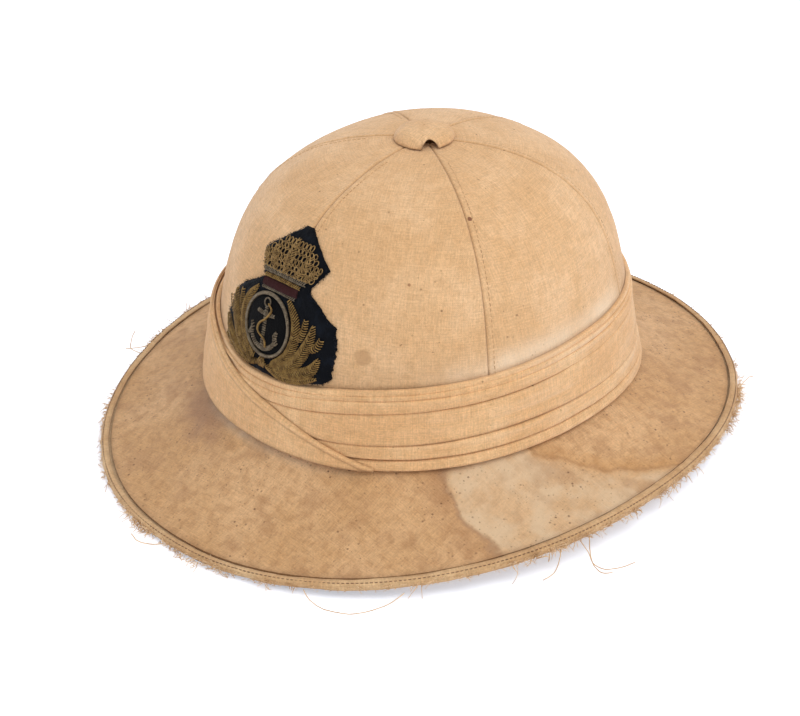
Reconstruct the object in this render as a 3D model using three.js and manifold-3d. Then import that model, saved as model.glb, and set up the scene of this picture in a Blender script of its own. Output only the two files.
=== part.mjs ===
// Six-panel pith helmet: a cork shell covered in cotton drill, with a folded puggaree,
// a cloth-covered vent button, a leather and cloth bound brim and an embroidered badge.
// Millimetres. +Z up, the front of the helmet looks along -Y and the wearer's left is +X.
// The origin is the centre of the outline on the plane that the helmet rests on.
import * as THREE from 'three';
import { mergeVertices } from 'three/addons/utils/BufferGeometryUtils.js';
import Module from 'manifold-3d';

const wasm = await Module();
wasm.setup();

// ---------------------------------------------------------------- driving sizes
const GAP = 0.3; // between touching pieces
const STEPS_ROUND = 48; // facets around the helmet
const RIM = { halfWidth: 147.5, halfLength: 170, power: 2.1 };
// Height of the resting edge: the sides lift, and the old brim is a little out of true.
const RIM_LIFT = { mean: 4.3, sides: 4.6, roll: 1.2, twist: 1.8 };
const CROWN = {
  halfWidth: 81,
  halfLength: 88.2,
  power: 2.17, // of the plan outline
  base: 30,
  top: 144.5,
  shoulder: 5.0, // how square the shoulder is
  roundness: 2.4, // how round the top is
  taper: 0.22, // the wall leans in by this share over its height
  centre: 0.6, // of the plan, along Y at the base
  lean: 3, // of the top, towards the back
};
const CLOTH = 1.0;
const CORK = 4.5;
const PANELS = 6;
const VENT = { hole: 7, clothHole: 8 };
const BUTTON = {
  radius: 14.5,
  height: 6.2,
  wall: 1.0,
  power: 2.6, // how square the dome is
  notch: 3.6, // radius of the arch
  notchAzimuth: 54,
  notchRise: 0.5, // of the arch's centre
};
const BRIM = {
  fall: 1.3, // how hollow its slope is
  coverInset: 5.3,
  coverTop: 3.8,
  cork: 4,
  corkEdge: 1.2,
  corkInset: 2.6,
  thinning: 4, // the cork is at full thickness over all but this fraction of the width
  leatherClear: 7.4,
};
// The edges of the puggaree: a mean height, more at the front than the back, and more at the
// ends than the sides. The upper edge dips below the badge.
const PUGGAREE = {
  foot: { mean: 27, front: 4, ends: -2 },
  head: { mean: 69, front: -0.5, ends: -1.5 },
  foldLift: 0.4,
  flare: 0.7,
  dip: 7.4,
  dipAzimuth: -7,
  dipWidth: 25,
};

// Heights up the crown at which every crown layer has a ring, as shares of its height.
const CROWN_RINGS = [0.19, 0.38, 0.567, 0.711, 0.824, 0.904, 0.959, 0.9886];
const LINING_RINGS = [0.9886, 0.904, 0.711, 0.38];
// Places across the brim at which every brim layer has a ring: 0 at the crown, 1 at the binding.
const BRIM_RINGS = [0.12, 0.3, 0.55, 0.8, 1];

// Folds of the puggaree, from the brim upwards. from and to are heights above the puggaree's
// lower edge, or below its upper edge where they are negative. foot and head are how far
// the fold stands out from the crown cloth at its lower and upper edge.
const FOLDS = [
  { name: 'puggaree_fold_1', from: 0, to: 5.6, foot: 3.4, head: 3.0 },
  { name: 'puggaree_fold_2', from: 5.9, to: 13, foot: 3.1, head: 2.6 },
  { name: 'puggaree_band', from: 13.3, to: -10.8, foot: 2.4, head: 2.2 },
  { name: 'puggaree_pleat_1', from: -10.5, to: -5.4, foot: 2.3, head: 2.8 },
  { name: 'puggaree_pleat_2', from: -5.1, to: -2.5, foot: 2.1, head: 2.6 },
  { name: 'puggaree_pleat_3', from: -2.2, to: 0, foot: 1.9, head: 2.4 },
];
// The diagonal end of the wrap crosses from the badge down to the brim on the wearer's left.
const CROSS_WRAP = {
  start: -67.5, end: 30, topEnd: -45, inner: 3.8, outer: 5.0, slimmest: 2.5, columns: 13, rows: 5,
};

// Outline of each badge piece as rows: the height above the resting plane, and the left and
// right ends across the front.
const BADGE_BACKING = [
  { z: 61.3, left: -20, right: 2 },
  { z: 62.9, left: -31, right: 12 },
  { z: 65.6, left: -37.5, right: 27.5 },
  { z: 69, left: -38.5, right: 31.5 },
  { z: 78, left: -39, right: 32 },
  { z: 86, left: -36.5, right: 32 },
  { z: 92, left: -33, right: 30 },
  { z: 95.5, left: -28.5, right: 24.5 },
  { z: 99.5, left: -21.5, right: 19.5 },
  { z: 103, left: -15.5, right: 13.5 },
  { z: 106, left: -17, right: 13.5 },
  { z: 113.5, left: -21, right: 19.5 },
  { z: 119, left: -13.5, right: 11.5 },
  { z: 125.5, left: -3.5, right: 1 },
];
const BADGE_CREST = [
  { z: 105.6, left: -16, right: 9 },
  { z: 109, left: -17.5, right: 13 },
  { z: 113, left: -19.5, right: 16.5 },
  { z: 117, left: -14, right: 11 },
  { z: 121.5, left: -5, right: 3 },
];
const BADGE_CREST_BAND = [
  { z: 100.4, left: -14, right: 7.5 },
  { z: 103.8, left: -14.5, right: 8 },
];
const BADGE_WREATH_LEFT = [
  { z: 64.5, left: -31, right: -10 },
  { z: 68, left: -35.5, right: -11.5 },
  { z: 72, left: -36, right: -17 },
  { z: 78, left: -36, right: -21 },
  { z: 84, left: -34.5, right: -22.4 },
  { z: 90, left: -30.5, right: -21.3 },
  { z: 97, left: -22.5, right: -16 },
];
const BADGE_WREATH_RIGHT = [
  { z: 64.5, left: -6, right: 24 },
  { z: 68, left: -1.5, right: 27.5 },
  { z: 72, left: 4, right: 29 },
  { z: 78, left: 8, right: 29.5 },
  { z: 84, left: 9.4, right: 28.5 },
  { z: 90, left: 8.3, right: 24.5 },
  { z: 97, left: 3, right: 13.5 },
];
const OVAL = { x: -6.5, z: 84.2, radius: 13.6, wire: 1.3 };
const FELT = 1.6;
const BULLION = 1.4;
const ANCHOR = {
  height: 20,
  depth: 1,
  shank: 1.6,
  ring: 2.2,
  ringHole: 1.1,
  stock: 8.5,
  stockDrop: 5.2,
  armRadius: 8,
  armWidth: 1.9,
  armReach: 62, // degrees to each side of the foot
  fluke: 2.6,
};

// ---------------------------------------------------------------- forms
const { sin, cos, abs, pow, PI, max, min } = Math;
const radians = (degrees) => (degrees * PI) / 180;

/** Radius of a superellipse at an azimuth measured from the front. */
function planRadius(halfWidth, halfLength, power, azimuth) {
  const across = pow(abs(sin(azimuth)) / halfWidth, power);
  const along = pow(abs(cos(azimuth)) / halfLength, power);
  return pow(across + along, -1 / power);
}

/** Point at a radius and azimuth about a centre on the Y axis. */
function polar(radius, azimuth, z, centreY = 0) {
  return new THREE.Vector3(radius * sin(azimuth), centreY - radius * cos(azimuth), z);
}

/** Share of the crown's full plan size left at a share h of its height. */
function crownScale(h) {
  const round = pow(1 - pow(max(h, 0), CROWN.shoulder), 1 / CROWN.roundness);
  return round * (1 + CROWN.taper * (1 - h));
}

const crownShare = (z) => (z - CROWN.base) / (CROWN.top - CROWN.base);
const crownCentre = (h) => CROWN.centre + CROWN.lean * max(h, 0);

/** Point on the crown at a share h of its height, moved out by an offset. */
function crownPoint(azimuth, h, offset = 0) {
  const plan = planRadius(CROWN.halfWidth, CROWN.halfLength, CROWN.power, azimuth);
  const radius = plan * crownScale(h) + offset;
  const z = CROWN.base + h * (CROWN.top + offset * max(h, 0) - CROWN.base);
  return polar(radius, azimuth, z, crownCentre(h));
}

/** Lower and upper edge of the puggaree at an azimuth. */
const edgeHeight = ({ mean, front, ends }, azimuth) => mean + front * cos(azimuth) + ends * cos(2 * azimuth);
const puggareeFoot = (azimuth) => edgeHeight(PUGGAREE.foot, azimuth);
function puggareeHead(azimuth) {
  const turn = azimuth - radians(PUGGAREE.dipAzimuth);
  const away = Math.atan2(sin(turn), cos(turn));
  const dip = PUGGAREE.dip * Math.exp(-pow(away / radians(PUGGAREE.dipWidth), 2));
  return edgeHeight(PUGGAREE.head, azimuth) - dip;
}

/** Height where the crown cloth meets the brim. */
const brimRoot = (azimuth) => puggareeFoot(azimuth) - PUGGAREE.foldLift;

/** Height of the lowest edge of the brim above the resting plane. */
function restHeight(azimuth) {
  const lift = RIM_LIFT.mean - RIM_LIFT.sides * cos(2 * azimuth);
  return max(0, lift - RIM_LIFT.roll * sin(azimuth) + RIM_LIFT.twist * sin(2 * azimuth));
}

/** Point near the rim: inset from the outermost edge, and height above the resting edge. */
function rimPoint(azimuth, inset, height) {
  const radius = planRadius(RIM.halfWidth, RIM.halfLength, RIM.power, azimuth) - inset;
  return polar(radius, azimuth, restHeight(azimuth) + height);
}

/** Point across the brim's top face, u = 0 at the crown and 1 at the binding, sunk by a drop. */
function brimPoint(azimuth, u, drop = 0, start = 0) {
  const root = brimRoot(azimuth);
  const inner = crownPoint(azimuth, crownShare(root), start);
  const outer = rimPoint(azimuth, BRIM.coverInset, BRIM.coverTop);
  const point = inner.clone().lerp(outer, u);
  point.z = outer.z + (root - outer.z) * pow(1 - u, BRIM.fall) - drop;
  return point;
}

// ---------------------------------------------------------------- solids
/** Geometry from points and triangles, turned so that its faces point out. */
function closedGeometry(points, triangles) {
  let volume = 0;
  for (const [a, b, c] of triangles) volume += points[a].dot(points[b].clone().cross(points[c]));
  const index = triangles.flatMap(([a, b, c]) => (volume < 0 ? [a, c, b] : [a, b, c]));
  const geometry = new THREE.BufferGeometry();
  geometry.setAttribute('position', new THREE.Float32BufferAttribute(points.flatMap((p) => p.toArray()), 3));
  geometry.setIndex(index);
  geometry.computeVertexNormals();
  return geometry;
}

/** A closed ring: the same section, a closed loop of points, at every azimuth. */
function ringGeometry(sectionAt) {
  const sections = Array.from({ length: STEPS_ROUND }, (_, i) => sectionAt((2 * PI * i) / STEPS_ROUND));
  const size = sections[0].length;
  const triangles = [];
  for (let i = 0; i < STEPS_ROUND; i += 1) {
    const here = i * size;
    const next = ((i + 1) % STEPS_ROUND) * size;
    for (let j = 0; j < size; j += 1) {
      const k = (j + 1) % size;
      triangles.push([here + j, next + j, next + k], [here + j, next + k, here + k]);
    }
  }
  return closedGeometry(sections.flat(), triangles);
}

/** A curved plate: a grid of points on its outer and its inner face, joined round the edge. */
function plateGeometry(rows, columns, pointAt) {
  const points = [];
  for (const face of ['outer', 'inner']) {
    for (let r = 0; r <= rows; r += 1) {
      for (let c = 0; c <= columns; c += 1) points.push(pointAt(r, c, face));
    }
  }
  const width = columns + 1;
  const sheet = (rows + 1) * width;
  const at = (r, c, layer) => layer * sheet + r * width + c;
  const triangles = [];
  for (let r = 0; r < rows; r += 1) {
    for (let c = 0; c < columns; c += 1) {
      for (const layer of [0, 1]) {
        const [p, q] = [at(r, c, layer), at(r, c + 1, layer)];
        const [s, t] = [at(r + 1, c + 1, layer), at(r + 1, c, layer)];
        triangles.push(...(layer === 1 ? [[p, s, q], [p, t, s]] : [[p, q, s], [p, s, t]]));
      }
    }
  }
  const edge = (a, b, c, d) => triangles.push([a, c, b], [b, c, d]);
  for (let c = 0; c < columns; c += 1) {
    edge(at(0, c, 0), at(0, c + 1, 0), at(0, c, 1), at(0, c + 1, 1));
    edge(at(rows, c + 1, 0), at(rows, c, 0), at(rows, c + 1, 1), at(rows, c, 1));
  }
  for (let r = 0; r < rows; r += 1) {
    edge(at(r + 1, 0, 0), at(r, 0, 0), at(r + 1, 0, 1), at(r, 0, 1));
    edge(at(r, columns, 0), at(r + 1, columns, 0), at(r, columns, 1), at(r + 1, columns, 1));
  }
  return closedGeometry(points, triangles);
}

/** A manifold solid from a closed geometry. */
function solid(geometry) {
  const bare = geometry.clone();
  bare.deleteAttribute('normal');
  bare.deleteAttribute('uv');
  const merged = mergeVertices(bare, 1e-4);
  return new wasm.Manifold(new wasm.Mesh({
    numProp: 3,
    vertProperties: new Float32Array(merged.getAttribute('position').array),
    triVerts: new Uint32Array(merged.getIndex().array),
  }));
}

/** A three.js geometry from a manifold solid. */
function fromSolid(manifold) {
  const mesh = manifold.getMesh();
  const geometry = new THREE.BufferGeometry();
  geometry.setAttribute('position', new THREE.BufferAttribute(new Float32Array(mesh.vertProperties), 3));
  geometry.setIndex(new THREE.BufferAttribute(new Uint32Array(mesh.triVerts), 1));
  geometry.computeVertexNormals();
  return geometry;
}

// ---------------------------------------------------------------- pieces
const CORK_OUTSIDE = -(CLOTH + GAP);
const CORK_INSIDE = CORK_OUTSIDE - CORK;

/** The cork wall of the crown, open below, with the vent hole in its top. */
function corkCrownGeometry() {
  return ringGeometry((azimuth) => {
    const root = brimRoot(azimuth) - CLOTH - GAP;
    const ring = (h, offset) => crownPoint(azimuth, h, offset);
    const foot = (offset) => ring(crownShare(root), offset).setZ(root - BRIM.cork);
    return [
      polar(VENT.hole, azimuth, CROWN.top + CORK_OUTSIDE, crownCentre(1)),
      ...CROWN_RINGS.map((h) => ring(h, CORK_OUTSIDE)).reverse(),
      ring(crownShare(root), CORK_OUTSIDE),
      foot(CORK_OUTSIDE),
      foot(CORK_INSIDE),
      ...LINING_RINGS.map((h) => ring(h, CORK_INSIDE)).reverse(),
      polar(VENT.hole, azimuth, CROWN.top + CORK_INSIDE, crownCentre(1)),
    ];
  });
}

/** The cork brim, which butts against the foot of the crown and thins towards its edge. */
function corkBrimGeometry() {
  const sink = CLOTH + GAP;
  const start = CORK_OUTSIDE + GAP;
  return ringGeometry((azimuth) => {
    const underFace = BRIM_RINGS.slice(0, -1).map((u) => {
      const thickness = BRIM.corkEdge + (BRIM.cork - BRIM.corkEdge) * min(1, BRIM.thinning * (1 - u));
      return brimPoint(azimuth, u, sink + thickness);
    }).reverse();
    return [
      brimPoint(azimuth, 0, sink, start),
      ...BRIM_RINGS.map((u) => brimPoint(azimuth, u, sink)),
      rimPoint(azimuth, BRIM.corkInset, sink + BRIM.corkEdge),
      rimPoint(azimuth, BRIM.corkInset, sink),
      rimPoint(azimuth, BRIM.leatherClear, sink),
      ...underFace,
      brimPoint(azimuth, 0, sink + BRIM.cork, start),
    ];
  });
}

/** One of the six cloth gores, from the vent down to the brim. */
function panelGeometry(number) {
  const columns = STEPS_ROUND / PANELS;
  const rings = [...CROWN_RINGS].reverse();
  return plateGeometry(rings.length + 1, columns, (row, column, face) => {
    const azimuth = (2 * PI * (number * columns + column)) / STEPS_ROUND;
    const offset = face === 'outer' ? 0 : -CLOTH;
    const point = row === 0
      ? polar(VENT.clothHole, azimuth, CROWN.top + offset, crownCentre(1))
      : crownPoint(azimuth, rings[row - 1] ?? crownShare(brimRoot(azimuth) - CLOTH), offset);
    const inward = column === 0 ? 1 : -1;
    const side = column === 0 || column === columns ? (inward * GAP) / 2 : 0;
    return point.add(new THREE.Vector3(cos(azimuth) * side, sin(azimuth) * side, 0));
  });
}

/** The cloth on top of the brim. */
function brimCoverGeometry() {
  const rows = [0, ...BRIM_RINGS];
  return ringGeometry((azimuth) => [
    ...rows.map((u) => brimPoint(azimuth, u, 0, GAP)),
    ...rows.map((u) => brimPoint(azimuth, u, CLOTH, GAP)).reverse(),
  ]);
}

/** The leather strip under and around the edge of the cork, on which the helmet rests. */
function edgeLeatherGeometry() {
  const profile = [
    { inset: 7, height: 0 },
    { inset: 1.3, height: 0 },
    { inset: 1.3, height: 2.2 },
    { inset: 2.3, height: 2.2 },
    { inset: 2.3, height: 1 },
    { inset: 7, height: 1 },
  ];
  return ringGeometry((azimuth) => profile.map(({ inset, height }) => rimPoint(azimuth, inset, height)));
}

/** The rolled cloth binding over the leather and the edge of the brim. */
function brimBindingGeometry() {
  const profile = [
    { inset: 1, height: 0.7 },
    { inset: 0.2, height: 0.7 },
    { inset: 0, height: 1.4 },
    { inset: 0, height: 3.1 },
    { inset: 0.7, height: 3.8 },
    { inset: 5, height: 3.9 },
    { inset: 5, height: 2.9 },
    { inset: 1, height: 2.8 },
  ];
  return ringGeometry((azimuth) => profile.map(({ inset, height }) => rimPoint(azimuth, inset, height)));
}

/** One fold or pleat of the puggaree. */
function foldGeometry({ from, to, foot, head }) {
  return ringGeometry((azimuth) => {
    const low = puggareeFoot(azimuth);
    const high = puggareeHead(azimuth);
    const bottom = from < 0 ? high + from : low + from;
    const top = to > 0 ? low + to : high + to;
    const flare = from === 0 ? PUGGAREE.flare : 0;
    return [
      crownPoint(azimuth, crownShare(bottom), GAP),
      crownPoint(azimuth, crownShare(bottom - flare), foot),
      crownPoint(azimuth, crownShare(top), head),
      crownPoint(azimuth, crownShare(top), GAP),
    ];
  });
}

/** The smooth end of the puggaree, laid over the folds with a diagonal upper edge. */
function crossWrapGeometry() {
  const { start, end, topEnd, inner, outer, slimmest, columns, rows } = CROSS_WRAP;
  return plateGeometry(rows, columns, (row, column, face) => {
    const degrees = start + ((end - start) * column) / columns;
    const azimuth = radians(degrees);
    const low = puggareeFoot(azimuth) + GAP;
    const slope = min(1, max(0, (end - degrees) / (end - topEnd)));
    const high = low + slimmest + (puggareeHead(azimuth) - low - slimmest) * slope;
    const z = high + ((low - high) * row) / rows;
    return crownPoint(azimuth, crownShare(z), face === 'outer' ? outer : inner);
  });
}

/** The cloth-covered cap over the vent, with one arched notch that lets the air out. */
function buttonGeometry() {
  const steps = 6;
  const dome = (radius, height) => Array.from({ length: steps + 1 }, (_, i) => {
    const r = radius * sin((PI / 2) * (i / steps));
    return new THREE.Vector2(r, height * pow(max(0, 1 - pow(r / radius, BUTTON.power)), 0.5));
  });
  const profile = [
    ...dome(BUTTON.radius, BUTTON.height),
    ...dome(BUTTON.radius - BUTTON.wall, BUTTON.height - BUTTON.wall).reverse(),
  ];
  const cap = new THREE.LatheGeometry(profile.reverse(), 24);
  cap.rotateX(PI / 2);
  const azimuth = radians(BUTTON.notchAzimuth);
  const tool = new THREE.CylinderGeometry(BUTTON.notch, BUTTON.notch, BUTTON.radius, 16);
  tool.translate(0, -BUTTON.radius, 0);
  tool.rotateZ(azimuth);
  tool.translate(0, 0, BUTTON.notchRise);
  const geometry = fromSolid(solid(cap).subtract(solid(tool)));
  return geometry.translate(0, crownCentre(1), CROWN.top + GAP);
}

/** Point on the front of the crown, x across and z up, moved out by an offset. */
function frontPoint(x, z, offset) {
  const h = crownShare(z);
  const scale = crownScale(h);
  const width = CROWN.halfWidth * scale + offset;
  const length = CROWN.halfLength * scale + offset;
  const y = crownCentre(h) - length * pow(1 - pow(abs(x) / width, CROWN.power), 1 / CROWN.power);
  return new THREE.Vector3(x, y, z);
}

/** A badge piece laid on the front of the crown, from its rows of left and right ends. */
function badgePlate(outline, columns, offset, thickness) {
  return plateGeometry(outline.length - 1, columns, (row, column, face) => {
    const { z, left, right } = outline[outline.length - 1 - row];
    const x = left + ((right - left) * column) / columns;
    return frontPoint(x, z, face === 'outer' ? offset + thickness : offset);
  });
}

/** A flat extruded shape bent onto the front of the crown: its x and y become x and height. */
function bendOntoFront(geometry, offset) {
  const position = geometry.getAttribute('position');
  for (let i = 0; i < position.count; i += 1) {
    const [x, z, lift] = [position.getX(i), position.getY(i), position.getZ(i)];
    position.setXYZ(i, ...frontPoint(OVAL.x + x, OVAL.z + z, offset + lift));
  }
  geometry.computeVertexNormals();
  return geometry;
}

/** Rows of the round pad behind the anchor. */
function ovalRows() {
  const rows = 8;
  return Array.from({ length: rows + 1 }, (_, i) => {
    const angle = radians(-80 + (160 * i) / rows);
    const half = OVAL.radius * cos(angle);
    return { z: OVAL.z + OVAL.radius * sin(angle), left: OVAL.x - half, right: OVAL.x + half };
  });
}

/** The wire round the pad. */
function ovalWireGeometry(offset) {
  const inner = OVAL.radius + GAP;
  const shape = new THREE.Shape().absarc(0, 0, inner + OVAL.wire, 0, 2 * PI);
  shape.holes.push(new THREE.Path().absarc(0, 0, inner, 0, 2 * PI));
  const flat = new THREE.ExtrudeGeometry(shape, { depth: OVAL.wire, bevelEnabled: false, curveSegments: 16 });
  return bendOntoFront(fromSolid(solid(flat)), offset);
}

/** A plain anchor: ring, shank, stock and curved arms, joined into one piece. */
function anchorGeometry(offset) {
  const { height, depth, shank, ring, ringHole, stock, stockDrop, armRadius, armWidth, fluke } = ANCHOR;
  const top = height / 2;
  const settings = { depth, bevelEnabled: false, curveSegments: 10 };
  const extrude = (shape) => solid(new THREE.ExtrudeGeometry(shape, settings));
  const bar = (x0, x1, y0, y1) => new THREE.Shape([
    new THREE.Vector2(x0, y0), new THREE.Vector2(x1, y0), new THREE.Vector2(x1, y1), new THREE.Vector2(x0, y1),
  ]);
  const eye = new THREE.Shape().absarc(0, top - ring, ring, 0, 2 * PI);
  eye.holes.push(new THREE.Path().absarc(0, top - ring, ringHole, 0, 2 * PI));
  const reach = radians(ANCHOR.armReach);
  const centre = armRadius - top;
  const arms = new THREE.Shape().absarc(0, centre, armRadius, -PI / 2 - reach, -PI / 2 + reach);
  arms.lineTo((armRadius + fluke) * sin(reach), centre - (armRadius - 3 * fluke) * cos(reach));
  arms.absarc(0, centre, armRadius - armWidth, -PI / 2 + reach, -PI / 2 - reach, true);
  arms.lineTo(-(armRadius + fluke) * sin(reach), centre - (armRadius - 3 * fluke) * cos(reach));
  const parts = [
    extrude(eye),
    extrude(bar(-shank / 2, shank / 2, -top + armWidth / 2, top - 2 * ring + 0.4)),
    extrude(bar(-stock / 2, stock / 2, top - stockDrop - shank, top - stockDrop)),
    extrude(arms),
  ];
  return bendOntoFront(fromSolid(parts.reduce((whole, part) => whole.add(part))), offset);
}

// ---------------------------------------------------------------- materials
const finish = (color, roughness, metalness = 0) => new THREE.MeshStandardMaterial({ color, roughness, metalness });
const MATERIALS = {
  cork: finish('#b79467', 0.95),
  crownCloth: finish('#e3c59a', 0.9),
  brimCloth: finish('#c39a71', 0.92),
  puggareeCloth: finish('#dcb485', 0.9),
  bindingCloth: finish('#d3ac80', 0.92),
  leather: finish('#4a3223', 0.6),
  felt: finish('#1d2230', 0.95),
  velvet: finish('#0b0a0d', 0.9),
  redVelvet: finish('#4a2322', 0.9),
  gold: finish('#8a6c3c', 0.45, 0.8),
  silver: finish('#a59a86', 0.4, 0.8),
};

const helmet = new THREE.Group();

/** Adds one named piece to the helmet. */
function addPiece(name, geometry, material) {
  const mesh = new THREE.Mesh(geometry, material);
  mesh.name = name;
  helmet.add(mesh);
}

// ---------------------------------------------------------------- assembly
const onFelt = GAP + FELT + GAP;
addPiece('cork_crown', corkCrownGeometry(), MATERIALS.cork);
addPiece('cork_brim', corkBrimGeometry(), MATERIALS.cork);
for (let i = 0; i < PANELS; i += 1) addPiece(`crown_panel_${i + 1}`, panelGeometry(i), MATERIALS.crownCloth);
addPiece('brim_cover', brimCoverGeometry(), MATERIALS.brimCloth);
addPiece('edge_leather', edgeLeatherGeometry(), MATERIALS.leather);
addPiece('brim_binding', brimBindingGeometry(), MATERIALS.bindingCloth);
for (const fold of FOLDS) addPiece(fold.name, foldGeometry(fold), MATERIALS.puggareeCloth);
addPiece('puggaree_cross_wrap', crossWrapGeometry(), MATERIALS.puggareeCloth);
addPiece('vent_button', buttonGeometry(), MATERIALS.crownCloth);
addPiece('badge_backing', badgePlate(BADGE_BACKING, 8, GAP, FELT), MATERIALS.felt);
addPiece('badge_crest', badgePlate(BADGE_CREST, 5, onFelt, BULLION), MATERIALS.gold);
addPiece('badge_crest_band', badgePlate(BADGE_CREST_BAND, 5, onFelt, BULLION), MATERIALS.redVelvet);
addPiece('badge_wreath_left', badgePlate(BADGE_WREATH_LEFT, 3, onFelt, BULLION), MATERIALS.gold);
addPiece('badge_wreath_right', badgePlate(BADGE_WREATH_RIGHT, 4, onFelt, BULLION), MATERIALS.gold);
addPiece('badge_oval', badgePlate(ovalRows(), 6, onFelt, CLOTH), MATERIALS.velvet);
addPiece('badge_oval_wire', ovalWireGeometry(onFelt), MATERIALS.silver);
addPiece('badge_anchor', anchorGeometry(onFelt + CLOTH + GAP), MATERIALS.silver);

export default helmet;
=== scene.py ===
"""Six-panel pith helmet: cork body in cotton drill, folded puggaree, bound brim, bullion badge.

Lengths in the classes are millimetres, and meshes are made in metres in the frame's own place.
Azimuths are degrees from the front (-Y) towards the wearer's left (+X).
"""
import logging
import math
from dataclasses import dataclass
from enum import Enum
from typing import Callable, Sequence

import bpy
import numpy as np
from mathutils import Matrix, Vector


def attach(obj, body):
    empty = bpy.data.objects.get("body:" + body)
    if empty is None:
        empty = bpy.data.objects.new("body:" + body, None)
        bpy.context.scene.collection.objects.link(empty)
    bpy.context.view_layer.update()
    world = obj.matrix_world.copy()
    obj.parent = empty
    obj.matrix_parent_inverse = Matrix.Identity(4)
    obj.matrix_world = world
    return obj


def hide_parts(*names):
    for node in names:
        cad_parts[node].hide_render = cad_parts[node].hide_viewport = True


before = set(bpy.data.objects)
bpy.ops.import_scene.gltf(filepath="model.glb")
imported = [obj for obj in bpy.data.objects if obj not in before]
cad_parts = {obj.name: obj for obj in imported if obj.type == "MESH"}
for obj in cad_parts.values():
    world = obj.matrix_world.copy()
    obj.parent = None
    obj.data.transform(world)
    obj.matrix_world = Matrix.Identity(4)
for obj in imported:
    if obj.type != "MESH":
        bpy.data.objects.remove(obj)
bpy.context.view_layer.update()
MM = 0.001
LOG = logging.getLogger("pith_helmet")
Array = np.ndarray


# ---------------------------------------------------------------- numbers
def linear(code: str) -> tuple[float, float, float, float]:
    """Turn an sRGB hex code into a linear colour.

    Args:
        code: Six hex digits after a hash.

    Returns:
        Linear red, green, blue and an alpha of one.
    """
    parts = [int(code[i:i + 2], 16) / 255 for i in (1, 3, 5)]
    red, green, blue = (c / 12.92 if c <= 0.04045 else ((c + 0.055) / 1.055) ** 2.4 for c in parts)
    return red, green, blue, 1.0


def hashed(cell: Array, seed: int) -> Array:
    """Pseudo-random numbers from -1 to 1 for whole-number cells.

    Args:
        cell: Integer cells, the last axis being x, y, z.
        seed: Which set of numbers.

    Returns:
        One number per cell.
    """
    mixed = cell[..., 0] * 73856093 ^ cell[..., 1] * 19349663 ^ cell[..., 2] * 83492791 ^ (seed * 2654435761 % 2**31)
    mixed = (mixed ^ (mixed >> 13)) * 1274126177 & 0x7FFFFFFF
    return (mixed ^ (mixed >> 16)) % 65536 / 32767.5 - 1


def noise(points: Array, size: float | Sequence[float], seed: int, octaves: int = 2) -> Array:
    """Smooth noise over points, from about -1 to 1.

    Args:
        points: Points in millimetres.
        size: Size of one bump, or one for each axis.
        seed: Which pattern.
        octaves: How many layers, each half the size of the last.

    Returns:
        One value per point.
    """
    total = np.zeros(points.shape[:-1])
    for octave in range(octaves):
        place = points * 2**octave / np.asarray(size, float) + 100.37
        cell = np.floor(place).astype(np.int64)
        part = place - cell
        part = part * part * (3 - 2 * part)
        value = np.zeros(points.shape[:-1])
        for corner in np.ndindex(2, 2, 2):
            weight = np.prod(np.where(np.array(corner), part, 1 - part), axis=-1)
            value += weight * hashed(cell + np.array(corner), seed + octave)
        total += value / 2**octave
    return total


def bump(x: Array, width: float) -> Array:
    """Bell curve of unit height."""
    return np.exp(-(x / width) ** 2)


def spread(start: float, stop: float, count: int) -> Array:
    """Evenly spaced numbers, ends included."""
    return np.linspace(start, stop, count)


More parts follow.
